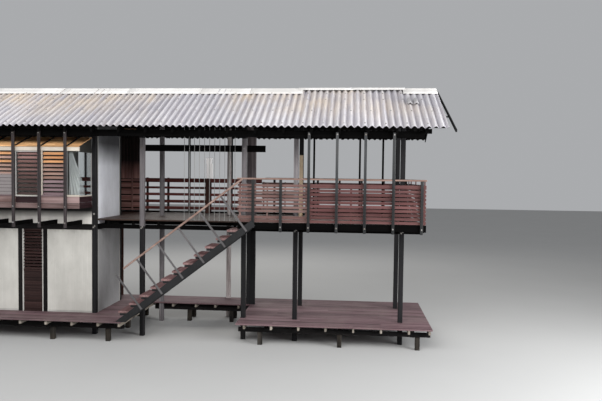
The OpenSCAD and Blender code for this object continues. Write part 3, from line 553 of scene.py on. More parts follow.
def roof_material():
    """Weathered corrugated sheet: valleys darker, partly dirt and partly painted shade; crests lighter as a painted
    highlight; peach lichen high up, runs down the slope; a near-black underside as painted shade.
    """
    m = Mat("roof_sheet")
    g = m.attr("grain", "Vector")      # x along the eave, y up the slope, z 0 valley to 1 crest
    o = m.obj()
    sx, sy, sz = m.sep(g)
    t = m.attr("tone")
    st = m.noise(m.vmul(g, (7.0, 0.8, 0.0)), 1.0, 5.0, 0.62)
    st2 = m.noise(m.vmul(g, (30.0, 1.5, 0.0), (5, 2, 0)), 1.0, 4.0, 0.62)
    st3 = m.noise(m.vmul(g, (13.0, 2.4, 0.0), (1, 9, 0)), 1.0, 5.0, 0.7)
    blot = m.noise(m.vmul(g, (0.75, 0.8, 0.0), (8, 3, 0)), 1.0, 4.0, 0.55)
    fine = m.noise(m.vmul(o, (90, 90, 90)), 1.0, 3.0, 0.6)
    spot = m.noise(m.vmul(o, (22, 22, 22)), 1.0, 5.0, 0.7)
    c = m.mix(m.rng(blot, 0.34, 0.66), (0.45, 0.435, 0.475), (0.56, 0.545, 0.58))
    c = m.mix(m.math("MULTIPLY", m.rng(st, 0.42, 0.62), 0.5), c, (0.70, 0.69, 0.70))
    # darker valleys: partly dirt, partly painted shade
    c = m.mix(m.rng(sz, 0.05, 0.60, 0.75, 0.0), c, (0.36, 0.345, 0.385))
    # lighter crests: painted highlight
    c = m.mix(m.rng(sz, 0.86, 1.0, 0.0, 0.55), c, (0.78, 0.765, 0.77))
    big = m.noise(m.vmul(g, (0.42, 0.35, 0.0), (2, 6, 0)), 1.0, 3.0, 0.5)
    tan = m.math("MULTIPLY", m.rng(big, 0.42, 0.58), m.math("MULTIPLY", m.rng(sy, 0.35, 1.5, 0.1, 1.0), m.rng(st, 0.34, 0.56)))
    c = m.mix(m.math("MULTIPLY", tan, 0.75), c, (0.72, 0.60, 0.47))
    pink = m.math("MULTIPLY", m.rng(st3, 0.56, 0.72), 0.35)
    c = m.mix(pink, c, (0.52, 0.40, 0.36))
    dk = m.math("MULTIPLY", m.rng(st2, 0.50, 0.74), 0.55)
    c = m.mix(dk, c, (0.27, 0.255, 0.28))
    c = m.mix(m.math("MULTIPLY", m.rng(spot, 0.60, 0.68), 0.5), c, (0.84, 0.82, 0.78))
    c = m.mix(m.math("MULTIPLY", m.rng(spot, 0.40, 0.33), 0.5), c, (0.20, 0.19, 0.20))
    mul = m.nt.nodes.new("ShaderNodeVectorMath")
    mul.operation = "SCALE"
    m.link(c, mul.inputs[0])
    m.link(m.rng(t, 0.0, 1.0, 0.84, 0.97), mul.inputs["Scale"])
    # the sheets' underside is near black: painted shade under the roof
    under = m.mix(m.rng(sz, -0.25, -0.60), mul.outputs[0], m.mix(m.rng(st3, 0.4, 0.7), (0.007, 0.0066, 0.007), (0.014, 0.013, 0.0135)))
    m.bump(m.math("ADD", fine, st2), 0.3, 0.002)
    m.p.inputs["Specular IOR Level"].default_value = 0.12
    return m.done(under, m.rng(fine, 0.3, 0.7, 0.8, 0.96))


ROOF = roof_material()
RIDGE = painted("ridge_metal", (0.84, 0.83, 0.815), (0.66, 0.64, 0.62), (0.90, 0.89, 0.88), 0.35, rough=(0.5, 0.7), specks=(0.50, 0.46, 0.42))


def glass_material():
    m = bpy.data.materials.new("window_glass")
    m.use_nodes = True
    nt = m.node_tree
    nt.nodes.clear()
    out = nt.nodes.new("ShaderNodeOutputMaterial")
    tr = nt.nodes.new("ShaderNodeBsdfTransparent")
    tr.inputs[0].default_value = (0.93, 0.95, 0.94, 1)
    gl = nt.nodes.new("ShaderNodeBsdfGlossy")
    gl.inputs["Roughness"].default_value = 0.03
    gl.inputs[0].default_value = (0.9, 0.92, 0.95, 1)
    fr = nt.nodes.new("ShaderNodeLayerWeight")
    fr.inputs[0].default_value = 0.22
    mp = nt.nodes.new("ShaderNodeMapRange")
    mp.inputs[3].default_value = 0.012
    mp.inputs[4].default_value = 0.45
    mx = nt.nodes.new("ShaderNodeMixShader")
    nt.links.new(fr.outputs["Fresnel"], mp.inputs[0])
    nt.links.new(mp.outputs[0], mx.inputs[0])
    nt.links.new(tr.outputs[0], mx.inputs[1])
    nt.links.new(gl.outputs[0], mx.inputs[2])
    nt.links.new(mx.outputs[0], out.inputs[0])
    return m


GLASS = glass_material()


def cloth_material():
    """Thin white voile with a plain weave, a little light passing through."""
    m = Mat("curtain_voile", 0.85)
    g = m.attr("grain", "Vector")
    wv = m.noise(m.vmul(g, (420.0, 420.0, 0.0)), 1.0, 2.0, 0.6)
    st = m.noise(m.vmul(g, (14.0, 0.7, 0.0)), 1.0, 4.0, 0.6)
    c = m.mix(m.rng(st, 0.35, 0.7), (0.58, 0.575, 0.59), (0.74, 0.735, 0.745))
    m.bump(wv, 0.3, 0.0006)
    m.p.inputs["Specular IOR Level"].default_value = 0.1
    m.done(c)
    tl = m.nt.nodes.new("ShaderNodeBsdfTranslucent")
    m.link(c, tl.inputs[0])
    mx = m.nt.nodes.new("ShaderNodeMixShader")
    mx.inputs[0].default_value = 0.4
    m.link(m.p.outputs[0], mx.inputs[1])
    m.link(tl.outputs[0], mx.inputs[2])
    m.link(mx.outputs[0], m.out.inputs[0])
    return m.m


VOILE = cloth_material()


def lamp_material():
    """Off-white translucent lantern shell with stains and faint seams."""
    m = Mat("lantern_shell", 0.6)
    o = m.obj()
    st = m.noise(m.vmul(o, (16.0, 16.0, 1.2)), 1.0, 4.0, 0.6)
    bl = m.noise(m.vmul(o, (6.0, 6.0, 6.0)), 1.0, 4.0, 0.6)
    c = m.mix(m.rng(bl, 0.4, 0.7), (0.95, 0.94, 0.94), (0.88, 0.87, 0.86))
    c = m.mix(m.math("MULTIPLY", m.rng(st, 0.55, 0.75), 0.5), c, (0.74, 0.72, 0.70))
    m.bump(st, 0.2, 0.001)
    m.p.inputs["Specular IOR Level"].default_value = 0.25
    m.done(c)
    tl = m.nt.nodes.new("ShaderNodeBsdfTranslucent")
    m.link(c, tl.inputs[0])
    mx = m.nt.nodes.new("ShaderNodeMixShader")
    mx.inputs[0].default_value = 0.3
    m.link(m.p.outputs[0], mx.inputs[1])
    m.link(tl.outputs[0], mx.inputs[2])
    m.link(mx.outputs[0], m.out.inputs[0])
    # a faint glow of the shell: painted light
    m.link(c, m.p.inputs["Emission Color"])
    m.p.inputs["Emission Strength"].default_value = 0.22
    return m.m


LAMP = lamp_material()

# ------------------------------------------------------------------ levels and lines of the house (m)
ZF, JT, JZ, BZ, DT = 2.712, 2.684, 2.590, 2.450, 0.500
EY, EZ = 1.990, 4.779
SLOPE = math.radians(27.7)
CS, SN, TN = math.cos(SLOPE), math.sin(SLOPE), math.tan(SLOPE)
SL = EY / CS
ROWF, ROWB, H = -1.080, 0.360, 0.052
WL, WR = -7.550, -3.850
OPEN = [-2.708, -0.325, 0.865, 3.252]
WIDE = (-0.505, -0.285)
STUDS = [-5.035, -5.650, -6.850]
BOXL, BOXR = -7.500, -3.900
VL, VR = -0.340, 3.700
OY = 1.800


def sheet_z(y):
    return EZ + (EY - abs(y)) * TN


def raft_top(y):
    return sheet_z(y) - 0.035 / CS


def raft_bot(y):
    return raft_top(y) - 0.090 / CS


HOLES = [(x - H, x + H, y - H, y + H) for x in [WL, WR] + OPEN for y in (ROWF, ROWB) if not (x == OPEN[1] and y == ROWB)]
HOLES.append((WIDE[0], WIDE[1], ROWB - H, ROWB + H))
POLES = [(x - 0.07, x + 0.07, 0.99, 1.13) for x in (-1.112, -4.76, -7.33)]

# ------------------------------------------------------------------ plain framing, rebuilt with eased edges
SIMPLE = [
    ("wing_studs", DARK, "dark_frame", 0.004, 0.0), ("deck_stumps", STUMP, "stump", 0.008, 0.003),
    ("deck_bearers", DARK, "dark_frame", 0.004, 0.004), ("deck_joists", PALE, "pale_joist", 0.003, 0.003),
    ("wing_floor_beams", DARK, "dark_frame", 0.004, 0.0), ("floor_beams", BLACK, "dark_frame", 0.004, 0.003),
    ("floor_joists", BLACK, "dark_frame", 0.003, 0.002), ("edge_beams", BLACK, "dark_frame", 0.004, 0.003),
    ("stair_stringers", STEEL, "stair_steel", 0.003, 0.0), ("stair_stanchions", BARS, "stair_steel", 0.002, 0.0),
    ("handrails", RAIL, "rail_timber", 0.005, 0.003), ("tie_beam", BLACK, "dark_frame", 0.005, 0.003),
    ("eave_beams", BLACK, "dark_frame", 0.004, 0.004), ("plate_posts", BLACK, "dark_frame", 0.003, 0.002), ("post_plates", BLACK, "dark_frame", 0.004, 0.003),
    ("rafters", BLACK, "dark_frame", 0.003, 0.002), ("ridge_beam", BLACK, "dark_frame", 0.004, 0.0),
    ("purlins", BLACK, "dark_frame", 0.003, 0.0), ("barge_strips", STRIP, "strip_metal", 0.002, 0.0),
    ("guard_rods", ROD, "rod_steel", 0.0, 0.0), ("recess_newel", REDB, "red_board", 0.006, 0.002),
    ("gallery_rails", GRAIL, "slat_timber", 0.003, 0.004),
]
for node, mat, slot, c, wob in SIMPLE:
    from_cad(node, node + "_made", mat, slot, c, wob)

# ------------------------------------------------------------------ main and outer posts
TOPF, TOPB = raft_bot(abs(ROWF - H)) - 0.120, raft_bot(abs(ROWB + H)) - 0.120


def post(s, x0, x1, y0, y1, z0, z1, tone, wob=0.004):
    boxb(s, x0, x1, y0, y1, z0, z1, 0.008, wob, tone, "z")


lit, dim = Soup(XS), Soup(XS)
# the light front posts are cut into three lengths: below the floor and above 4.60 m they take the dark post timber as
# painted shade under the floor and the eave; between, the weathered grey timber
for x, t, lo_ in ((WL, 0.5, None), (WR, 0.75, None), (OPEN[0], 0.45, 0.5), (OPEN[1], 0.5, 0.3), (OPEN[2], 0.75, 0.8), (OPEN[3], 0.95, None)):
    if lo_ is None:
        post(dim, x - H, x + H, ROWF - H, ROWF + H, 0, TOPF, t)
    else:
        post(dim, x - H, x + H, ROWF - H, ROWF + H, 0, 2.560, lo_)
        post(lit, x - H, x + H, ROWF - H, ROWF + H, 2.5605, 4.600, t)
        post(dim, x - H, x + H, ROWF - H, ROWF + H, 4.6005, TOPF, 0.0)
lit.make("main_posts_front_weathered", LPOST, "dark_frame", "main_posts_front")
dim.make("main_posts_front_dark", DPOST, "dark_frame", "main_posts_front")
lit, dim = Soup(XS), Soup(XS)
for x, s_, t in ((WL, dim, 0.4), (WR, dim, 0.4), (OPEN[0], lit, 0.30), (OPEN[2], dim, 0.2), (OPEN[3], dim, 0.7)):
    post(s_, x - H, x + H, ROWB - H, ROWB + H, 0, TOPB, t)
# below the floor the broad back post takes the dark post timber: painted shade under the floor
post(dim, WIDE[0], WIDE[1], ROWB - H, ROWB + H, 0, 2.560, 0.5)
wide = Soup(XS)
post(wide, WIDE[0], WIDE[1], ROWB - H, ROWB + H, 2.5605, TOPB, 0.6)
wide.make("main_posts_back_broad", MPOST, "dark_frame", "main_posts_back")
lit.make("main_posts_back_weathered", LPOST, "dark_frame", "main_posts_back")
dim.make("main_posts_back_dark", DPOST, "dark_frame", "main_posts_back")

fix = Soup(XS)                      # bolts and screws of the frame
tan = Soup(XS)                      # pale board on the front of one back post
boxb(tan, OPEN[2] - 0.048, OPEN[2] + 0.044, ROWB - H - 0.020, ROWB - H, ZF + 0.002, 4.29, 0.003, 0.001, 0.5, "z")
tan.make("pale_post_board", TAN, "lining_board")
for i in range(5):
    for dx in (-0.024, 0.020):
        screw(fix, (OPEN[2] + dx, ROWB - H - 0.020, 2.86 + i * 0.33), (0, -1, 0), 0.005)

WING = [i * 0.6 for i in range(-12, -6)]
FULL = [i * 0.6 for i in range(2, 6)]
for side in (-1, 1):
    s, w = Soup(XS), Soup(XS)
    top = 4.705 if side < 0 else 4.811
    ps = [(x, 2.555, top) for x in WING] + [(x, 2.555, top if side < 0 else 3.680) for x in FULL] + [(x, 2.555, 3.680) for x in (0.6, 3.6)]
    if side < 0:
        ps.append((0.0, 2.640, 3.680))
    else:
        ps += [(0.0, 2.555, 3.680)] + [(x, 2.555, top if x in (-2.4, -1.2) else 3.680) for x in (-3.6, -3.0, -2.4, -1.8, -1.2, -0.6)]
    for x, z0, z1 in ps:
        boxb(w if x < -3.9 else s, x - 0.029, x + 0.029, min(side * OY, side * (OY + 0.05)), max(side * OY, side * (OY + 0.05)), z0, z1, 0.004, 0.0025, None, "z")
        zs = [z for z in ((2.66, 4.66) if side < 0 else (2.66,)) if z0 + 0.03 < z < z1]
        for z in zs:
            bolt(fix, (x, side * (OY + 0.05), z), (0, side, 0), 0.009, R.random())
        if side < 0 and x < -3.9:
            bolt(fix, (x, -OY - 0.05, 3.02), (0, -1, 0), 0.007, R.random())
    n = "outer_posts_front" if side < 0 else "outer_posts_back"
    s.make(n + "_made", GREY, "grey_post", n)
    w.make(n + "_wing", WPOST, "grey_post", n)
bolt(fix, (WR, ROWF - H, 2.826), (0, -1, 0), 0.013)
for x in OPEN + [WL, WR]:
    for y, sgn in ((ROWF - H, -1), (ROWB + H, 1)):
        if x == OPEN[1] and sgn > 0:
            continue
        bolt(fix, (x + 0.015, y, 2.545), (0, sgn, 0), 0.010)
        bolt(fix, (x - 0.015, y, 2.515), (0, sgn, 0), 0.010)
for x in (OPEN[0], OPEN[1]):
    bolt(fix, (x, ROWF - H, 4.377), (0, -1, 0), 0.010)
fix.make("frame_bolts", ZINC, "rod_steel")

s = Soup(XS)
for x in (-1.112, -4.76, -7.33):
    pole(s, x, 1.06, 0, 2.488, 0.07)
lo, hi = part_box("rough_poles")
for x in (-1.112, -4.76, -7.33):
    pole(s, x, 1.06, 2.7125, hi.z, 0.062)
s.make("rough_poles_made", BARK, "bark_pole", "rough_poles")

# ------------------------------------------------------------------ decks and floors laid board by board
joints_l = [-7.65 + i * 0.6 for i in range(8)]
joints_r = [-0.2 + i * 0.6 for i in range(7)]
nails = Soup(XS)
s = Soup(XS)
planks(s, -7.750, -2.920, -1.890, 1.100, DT - 0.028, DT, 0.138, 0.005, HOLES + POLES, joints_l)
s.make("lower_deck_left_made", DECK, "deck_board", "lower_deck_left")
s = Soup(XS)
planks(s, -2.916, -0.394, 0.270, 1.100, DT - 0.028, DT, 0.134, 0.005, HOLES + POLES, [-1.8, -1.3])
s.make("lower_walkway_made", DECK, "deck_board", "lower_walkway")
s = Soup(XS)
planks(s, -0.390, 3.900, -1.700, 1.100, DT - 0.028, DT, 0.138, 0.005, HOLES + POLES, joints_r)
s.make("lower_deck_right_made", DECK, "deck_board", "lower_deck_right")


def deck_nails(xs, y0, y1, w, gap, z):
    n = max(1, round((y1 - y0 + gap) / (w + gap)))
    bw = (y1 - y0 - gap * (n - 1)) / n
    for i in range(n):
        for x in xs:
            for q in (0.028, bw - 0.028):
                y = y0 + i * (bw + gap) + q
                if not any(h[0] - 0.01 < x < h[1] + 0.01 and h[2] - 0.01 < y < h[3] + 0.01 for h in HOLES + POLES):
                    screw(nails, (x + R.uniform(-0.004, 0.004), y + R.uniform(-0.004, 0.004), z), (0, 0, 1))


deck_nails([-7.65 + i * 0.6 for i in range(8)], -1.890, 1.100, 0.138, 0.005, DT)
deck_nails([-0.2 + i * 0.6 for i in range(7)], -1.700, 1.100, 0.138, 0.005, DT)
deck_nails([-2.4, -1.8, -1.3, -0.7], 0.270, 1.100, 0.134, 0.005, DT)
nails.make("deck_screws", DSCREW, "rod_steel")

joists = [i * 0.6 + 0.0475 for i in range(-12, 7)]
s = Soup(XS)
planks(s, BOXL, -3.845, -1.039, 1.755, JT, ZF, 0.086, 0.002, HOLES, [j for j in joists if j < -4], 0.0012)
s.make("wing_floor_made", FLOOR, "floor_board", "wing_floor")
s = Soup(XS)
planks(s, -3.805, VL, -1.060, 1.755, JT, ZF, 0.086, 0.003, HOLES, [j for j in joists if -3.5 < j < -0.6], 0.0015)
planks(s, -3.845, -3.806, 0.412, 1.755, JT, ZF, 0.086, 0.003, HOLES, [], 0.0015)
s.make("recess_floor_made", FLOOR, "floor_board", "recess_floor")
s = Soup(XS)
planks(s, VL, VR, -1.755, 1.755, JT, ZF, 0.086, 0.003, HOLES, [j for j in joists if 0 < j < 3.5], 0.0015)
s.make("veranda_floor_made", FLOOR, "floor_board", "veranda_floor")

# ------------------------------------------------------------------ wing walls
BAYS = [(STUDS[0] + 0.05, WR - H, False), (STUDS[1] + 0.05, STUDS[0] - 0.05, True), (STUDS[2] + 0.05, STUDS[1] - 0.05, False), (WL + H, STUDS[2] - 0.05, True)]


def panel(s, x0, x1, y0, y1, z0, z1, c=0.002, wetfoot=0.35):
    """A wall sheet whose tone attribute rises where splashes and the top drip stain it."""
    m = 10
    co, to, gr = [], [], []
    for i in range(m + 1):
        z = z0 + (z1 - z0) * i / m
        u = i / m
        w = wetfoot * max(0.0, 1 - u * 5) + 0.75 * max(0.0, 1 - (1 - u) * 7)
        for x, y in ((x0, y0), (x1, y0), (x1, y1), (x0, y1)):
            co.append((x, y, z))
            to.append(w)
            gr.append((z, x, y))
    fs = [(3, 2, 1, 0)]
    for i in range(m):
        for k in range(4):
            j = (k + 1) % 4
            fs.append((i * 4 + k, i * 4 + j, i * 4 + 4 + j, i * 4 + 4 + k))
    fs.append(tuple(m * 4 + k for k in range(4)))
    s.add(co, fs, gr, to)


def trim(s, x0, x1, y, z0, z1, t=0.008, w=0.020):
    """Beads round a sheet, standing out toward -y or +y by t."""
    ya, yb = min(y, y + t), max(y, y + t)
    for a, b in ((x0, x0 + w), (x1 - w, x1)):
        boxb(s, a, b, ya, yb, z0, z1, 0.002, 0.0, None, "z")
    for a, b in ((z0, z0 + w), (z1 - w, z1)):
        boxb(s, x0 + w, x1 - w, ya, yb, a, b, 0.002, 0.0, None, "x")


beads = Soup(XS)
for node, y0, y1 in (("lower_wall_front", ROWF - 0.045, ROWF - 0.005), ("lower_wall_back", ROWB + 0.005, ROWB + 0.045)):
    s = Soup(XS)
    for a, b, lv in BAYS:
        if not lv:
            panel(s, a, b, y0, y1, DT, BZ)
    s.make(node + "_made", WALL, "wall_sheet", node)
for a, b, lv in BAYS:
    if not lv:
        trim(beads, a, b, ROWB + 0.045, DT, BZ, 0.007, 0.022)
        trim(beads, a, b, ROWF - 0.005, DT, BZ, 0.006, 0.020)
        boxb(beads, a, b, ROWF - 0.052, ROWF - 0.0455, DT + 0.004, DT + 0.049, 0.002, 0.0, None, "x")

s = Soup(XS)
for x0, x1 in ((WR + 0.005, WR + 0.045), (WL - 0.045, WL - 0.005)):
    y0, y1 = ROWF + H, ROWB - H
    ym = (y0 + y1) / 2
    for a, b in ((y0, ym - 0.002), (ym + 0.002, y1)):
        m = 10
        co, to, gr = [], [], []
        for i in range(m + 1):
            z = DT + (BZ - DT) * i / m
            u = i / m
            w = 0.4 * max(0.0, 1 - u * 5) + 0.75 * max(0.0, 1 - (1 - u) * 6)
            for x, y in ((x0, a), (x1, a), (x1, b), (x0, b)):
                co.append((x, y, z))
                to.append(w)
                gr.append((z, x, y))
        fs = [(3, 2, 1, 0)] + [(i * 4 + k, i * 4 + (k + 1) % 4, i * 4 + 4 + (k + 1) % 4, i * 4 + 4 + k) for i in range(m) for k in range(4)] + [tuple(m * 4 + k for k in range(4))]
        s.add(co, fs, gr, to)
    xo = x1 if x1 > WR else x0
    sg = 1 if x1 > WR else -1
    for y in ((y0 + 0.012, y1 - 0.012) if sg > 0 else (y0 + 0.012, ym, y1 - 0.012)):
        boxb(beads, min(xo, xo + sg * 0.007), max(xo, xo + sg * 0.007), y - 0.014, y + 0.014, DT, BZ, 0.002, 0.0, None, "z")
# the lower side walls take SIDEL, the painted-shade copy of the wall paint
s.make("lower_wall_sides_made", SIDEL, "wall_sheet", "lower_wall_sides")

# lower louvre bays: pale side frames, tilted blades above, fine closed boards below
fr, bl = Soup(XS), Soup(XS)
zm = DT + (BZ - DT) * 0.497
for a, b, lv in BAYS:
    if not lv:
        continue
    for yc, out in ((ROWF - 0.025, -1), (ROWB + 0.025, 1)):
        for p, q in ((a, a + 0.030), (b - 0.030, b)):
            boxb(fr, p, q, yc - 0.022, yc + 0.022, DT, BZ, 0.002, 0.0, None, "z")
        for p, q in ((DT, DT + 0.030), (BZ - 0.028, BZ), (zm - 0.018, zm + 0.018)):
            boxb(bl, a + 0.0305, b - 0.0305, yc - 0.020, yc + 0.020, p, q, 0.002, 0.0, None, "x")
        n = int((BZ - zm - 0.05) / 0.0705)
        for i in range(n):
            z = zm + 0.052 + i * (BZ - zm - 0.10) / (n - 1)
            t = R.random()
            an = math.radians(40 + R.uniform(-2.5, 2.5)) * (1 if out < 0 else -1)
            d = (0, math.cos(an), math.sin(an))
            bar(bl, (a + 0.0305, yc, z), (b - 0.0305, yc, z), 0.064, 0.009, d, 0.002, None, 0.0, t, 0.5, (0.0, R.uniform(-0.002, 0.002)))
            for xx in (a + 0.034, b - 0.034):
                boxb(fr, xx - 0.004, xx + 0.004, yc + out * 0.006 - 0.012, yc + out * 0.006 + 0.012, z - 0.012, z + 0.010, 0.001, 0.0, None, "z")
        k = 15
        hb = (zm - 0.018 - DT - 0.030) / k
        for i in range(k):
            z = DT + 0.030 + i * hb
            boxb(bl, a + 0.0305, b - 0.0305, yc - 0.010 + (0.0015 if i % 2 else 0), yc + 0.010, z + 0.001, z + hb - 0.004, 0.0025, 0.0, R.uniform(0.0, 0.45), "x")
        boxb(bl, a + 0.031, b - 0.031, yc - 0.004, yc + 0.004, DT + 0.03, zm - 0.018, 0.0, 0.0, 0.05, "x")
fr.make("lower_louvre_frames", BEAD, "louvre_timber", "lower_louvres")
bl.make("lower_louvre_blades", LOWL, "louvre_timber", "lower_louvres")

# sill panel under the bay, the upper closing panel, upper back and end walls
# the sill panels and the upper closing panel take SILLP: painted shadow under the bay, painted shade under the eave
s = Soup(XS)
xa, xb, ya, yb = WL + H, WR - H, ROWF - H, ROWF - 0.015
cutx = [xa] + [v for i in range(-12, -6) for v in (i * 0.6 + 0.024, i * 0.6 + 0.071)] + [xb]
for a, b in zip(cutx[0::2], cutx[1::2]):
    panel(s, a, b, ya, yb, JZ + 0.0, 2.980, 0.002, 0.3)
for a, b in zip(cutx[1::2], cutx[2::2]):
    panel(s, a, b, ya, yb, JT + 0.001, 2.980, 0.002, 0.3)
panel(s, xa, xb, ya, yb, 4.612, TOPF)
s.make("upper_wall_front_made", SILLP, "wall_sheet", "upper_wall_front")

s = Soup(XS)
W0, W1 = -4.950, -3.960
ya, yb = ROWB, ROWB + 0.040
edges = [xa, -6.35, -5.15, W0]
for a, b in zip(edges, edges[1:]):
    panel(s, a + 0.001, b - 0.001, ya, yb, ZF, TOPB)
panel(s, W1, xb, ya, yb, ZF, TOPB)
panel(s, W0, W1, ya, yb, ZF + 2.060, TOPB)
s.make("upper_wall_back_made", WALL, "wall_sheet", "upper_wall_back")
for x in (-6.35, -5.15):
    boxb(beads, x - 0.022, x + 0.022, yb, yb + 0.009, ZF, TOPB, 0.002, 0.0, None, "z")
for x0, x1 in ((W0 - 0.045, W0), (W1, W1 + 0.045)):
    boxb(beads, x0, x1, yb, yb + 0.012, ZF, ZF + 2.105, 0.002, 0.0, None, "z")
    boxb(beads, x0, x1, ya - 0.012, ya, ZF, ZF + 2.105, 0.002, 0.0, None, "z")
for y0, y1 in ((yb, yb + 0.012), (ya - 0.012, ya)):
    boxb(beads, W0, W1, y0, y1, ZF + 2.060, ZF + 2.105, 0.002, 0.0, None, "x")

s, s2 = Soup(0.0), Soup(0.0)
for co, fs in islands("upper_wall_sides"):
    mx_ = sum(c[0] for c in co) / len(co)
    add_bevelled(s if mx_ > -4.0 else s2, co, fs, 0.002, 0.25)
# the right upper side wall takes SIDEW with its painted light and shade; the left keeps the plain wall paint
s.make("upper_wall_side_right", SIDEW, "wall_sheet", "upper_wall_sides")
s2.make("upper_wall_side_left", WALL, "wall_sheet", "upper_wall_sides")
y0, y1 = ROWF + H, ROWB - H
for xo, sg in ((WR + 0.045, 1), (WL - 0.045, -1)):
    for y in ((y0 + 0.012, y1 - 0.012) if sg > 0 else (y0 + 0.012, -0.36, y1 - 0.012)):
        boxb(beads, min(xo, xo + sg * 0.006), max(xo, xo + sg * 0.006), y - 0.013, y + 0.013, JZ, sheet_z(y) - 0.048 / CS - 0.07, 0.002, 0.0, None, "z")
beads.make("wall_cover_beads", BEAD, "wall_sheet")
s = Soup(XS)                        # short ledger at the foot of the wing's right wall
boxb(s, WR + 0.0455, WR + 0.080, -0.620, -0.170, 2.530, 2.668, 0.003, 0.001, 0.5, "y")
s.make("wall_foot_ledger", BLACK, "dark_frame")

# ------------------------------------------------------------------ bay window
BY = -1.780
BZ0, BZ1, BZ2, BZ3 = 2.980, 3.245, 4.260, 4.350
s = Soup(XS)
for k, (z0, z1) in enumerate(((BZ0, BZ0 + 0.1145), (BZ0 + 0.1215, BZ1))):
    xs_ = [BOXL] + ([-6.6, -5.37, -4.83] if k else [-6.3, -4.81]) + [BOXR]
    for a, b in zip(xs_, xs_[1:]):
        if k and a == -5.37:
            continue
        t = R.uniform(0.0, 0.25) if k == 0 else R.uniform(0.5, 1.0)
        boxb(s, a + 0.0008, b - 0.0008, BY, BY + 0.021, z0, z1, 0.0025, 0.0012, t, "x")
boxb(s, BOXL + 0.001, BOXR - 0.0225, BY + 0.0215, ROWF - H, BZ0, BZ0 + 0.020, 0.002, 0.0, 0.4, "x")
boxb(s, BOXL + 0.001, BOXR - 0.0225, BY + 0.0215, ROWF - H, BZ1 - 0.022, BZ1, 0.002, 0.0, 0.6, "x")
s.make("bay_box_face", BAYB, "bay_board", "bay_box")
s = Soup(XS)
# the upper board below the open sash takes the dark return timber: painted shadow of the sash
boxb(s, -5.3692, -4.8308, BY, BY + 0.021, BZ0 + 0.1215, BZ1, 0.0025, 0.0012, 0.5, "x")
for x in (BOXL, BOXR - 0.022):
    for z0, z1 in ((BZ0, BZ0 + 0.130), (BZ0 + 0.133, BZ1)):
        boxb(s, x, x + 0.022, BY + 0.0215, ROWF - H, z0, z1, 0.0025, 0.001, None, "y")
s.make("bay_box_ends", MAROON, "bay_board", "bay_box")

s = Soup(XS)
heads, sills, dim = Soup(XS), Soup(XS), Soup(XS)
boxb(s, BOXL, BOXR, BY, BY + 0.040, BZ2, BZ3, 0.004, 0.0, 0.1, "x")
for i in range(-13, -6):
    a, b = max(BOXL - 0.004, i * 0.6), min(BOXR + 0.006, (i + 1) * 0.6)
    if b - a > 0.01:
        boxb(sills if i in (-12, -10, -8) else s, a + 0.0003, b - 0.0003, BY - 0.010, BY + 0.034, BZ1, BZ1 + (0.040 if i == -7 else 0.026), 0.003, 0.0, 0.1, "x")
for x in (BOXL, BOXR - 0.014):
    boxb(s, x, x + 0.014, BY + 0.0345, ROWF - H, BZ1, BZ1 + 0.026, 0.002, 0.0, 0.1, "y")
    boxb(heads, x, x + 0.014, BY + 0.0405, ROWF - H, BZ2 - 0.020, BZ3, 0.002, 0.0, 0.1, "y")
CHZ = 4.440
for x in (BOXL, BOXR - 0.014):
    ya_, yb_, yk = BY + 0.0410, ROWF - H - 0.0005, BY - 0.012 + (CHZ - 4.350) * (ROWF - H - BY + 0.012) / 0.242
    for poly in ([(ya_, 4.3502), (yb_, 4.3502), (yb_, CHZ), (yk, CHZ), (ya_, 4.3665)], [(yk + 0.004, CHZ + 0.0015), (yb_, CHZ + 0.0015), (yb_, 4.5895)]):
        n = len(poly)
        co_ = [(xx, y, z) for xx in (x + 0.0005, x + 0.0135) for y, z in poly]
        heads.add(co_, [tuple(range(n))[::-1], tuple(range(n, 2 * n))] + [(i, (i + 1) % n, n + (i + 1) % n, n + i) for i in range(n)], [(c[1], c[0], c[2]) for c in co_], 0.2, 0.1, False)
heads.make("bay_end_heads", DHEAD, "window_metal", "bay_window_frame")
sills.make("bay_louvre_sills", LOUVB, "louvre_timber", "bay_window_frame")
for i in range(-12, -6):
    x = i * 0.6
    lv = i % 2 == 0 and i < -7
    boxb(s, x - (0.026 if i in (-11, -9, -7) else 0.056), x - 0.012, BY, BY + 0.034, BZ1 + 0.0265, BZ2 - 0.0005, 0.002, 0.0, 0.1, "z")
    if lv:
        boxb(s, x + 0.018, x + 0.046, BY, BY + 0.034, BZ1 + 0.0265, BZ2 - 0.0005, 0.002, 0.0, 0.1, "z")
    else:
        # stiles in the sash bays go in the darker frame copy: painted shade
        boxb(dim, x + 0.012, x + (0.024 if i == -7 else 0.038), BY, BY + 0.034, BZ1 + 0.0265, BZ2 - 0.0005, 0.002, 0.0, 0.1, "z")
s.make("bay_window_frame_made", FRAMEM, "window_metal", "bay_window_frame")
dim.make("bay_sash_stiles", FRAMED, "window_metal", "bay_window_frame")

# hinged sashes hung just outside the frame, and the sashes of the end pane
sash = Soup(XS)
gl = Soup(XS)


def sash_frame(x0, x1, y0, y1, z0, z1, w=0.018, rail=0.024):
    boxb(sash, x0, x0 + w, y0, y1, z0, z1, 0.002, 0.0, 0.1, "z")
    boxb(sash, x1 - w, x1, y0, y1, z0, z1, 0.002, 0.0, 0.1, "z")
    for a, b in ((z0, z0 + rail), (z1 - rail, z1)):
        boxb(sash, x0 + w, x1 - w, y0, y1, a, b, 0.002, 0.0, 0.1, "x")


def pane(p0, p1, p2, p3, n, t=0.005):
    """A thin glass plate with four corners and its normal."""
    n = Vector(n).normalized() * t
    ps = [Vector(p) for p in (p0, p1, p2, p3)]
    v = ps + [p + n for p in ps]
    gl.add(v, [(3, 2, 1, 0), (4, 5, 6, 7), (0, 1, 5, 4), (1, 2, 6, 5), (2, 3, 7, 6), (3, 0, 4, 7)], [q * 1.0 for q in v], 0.5)


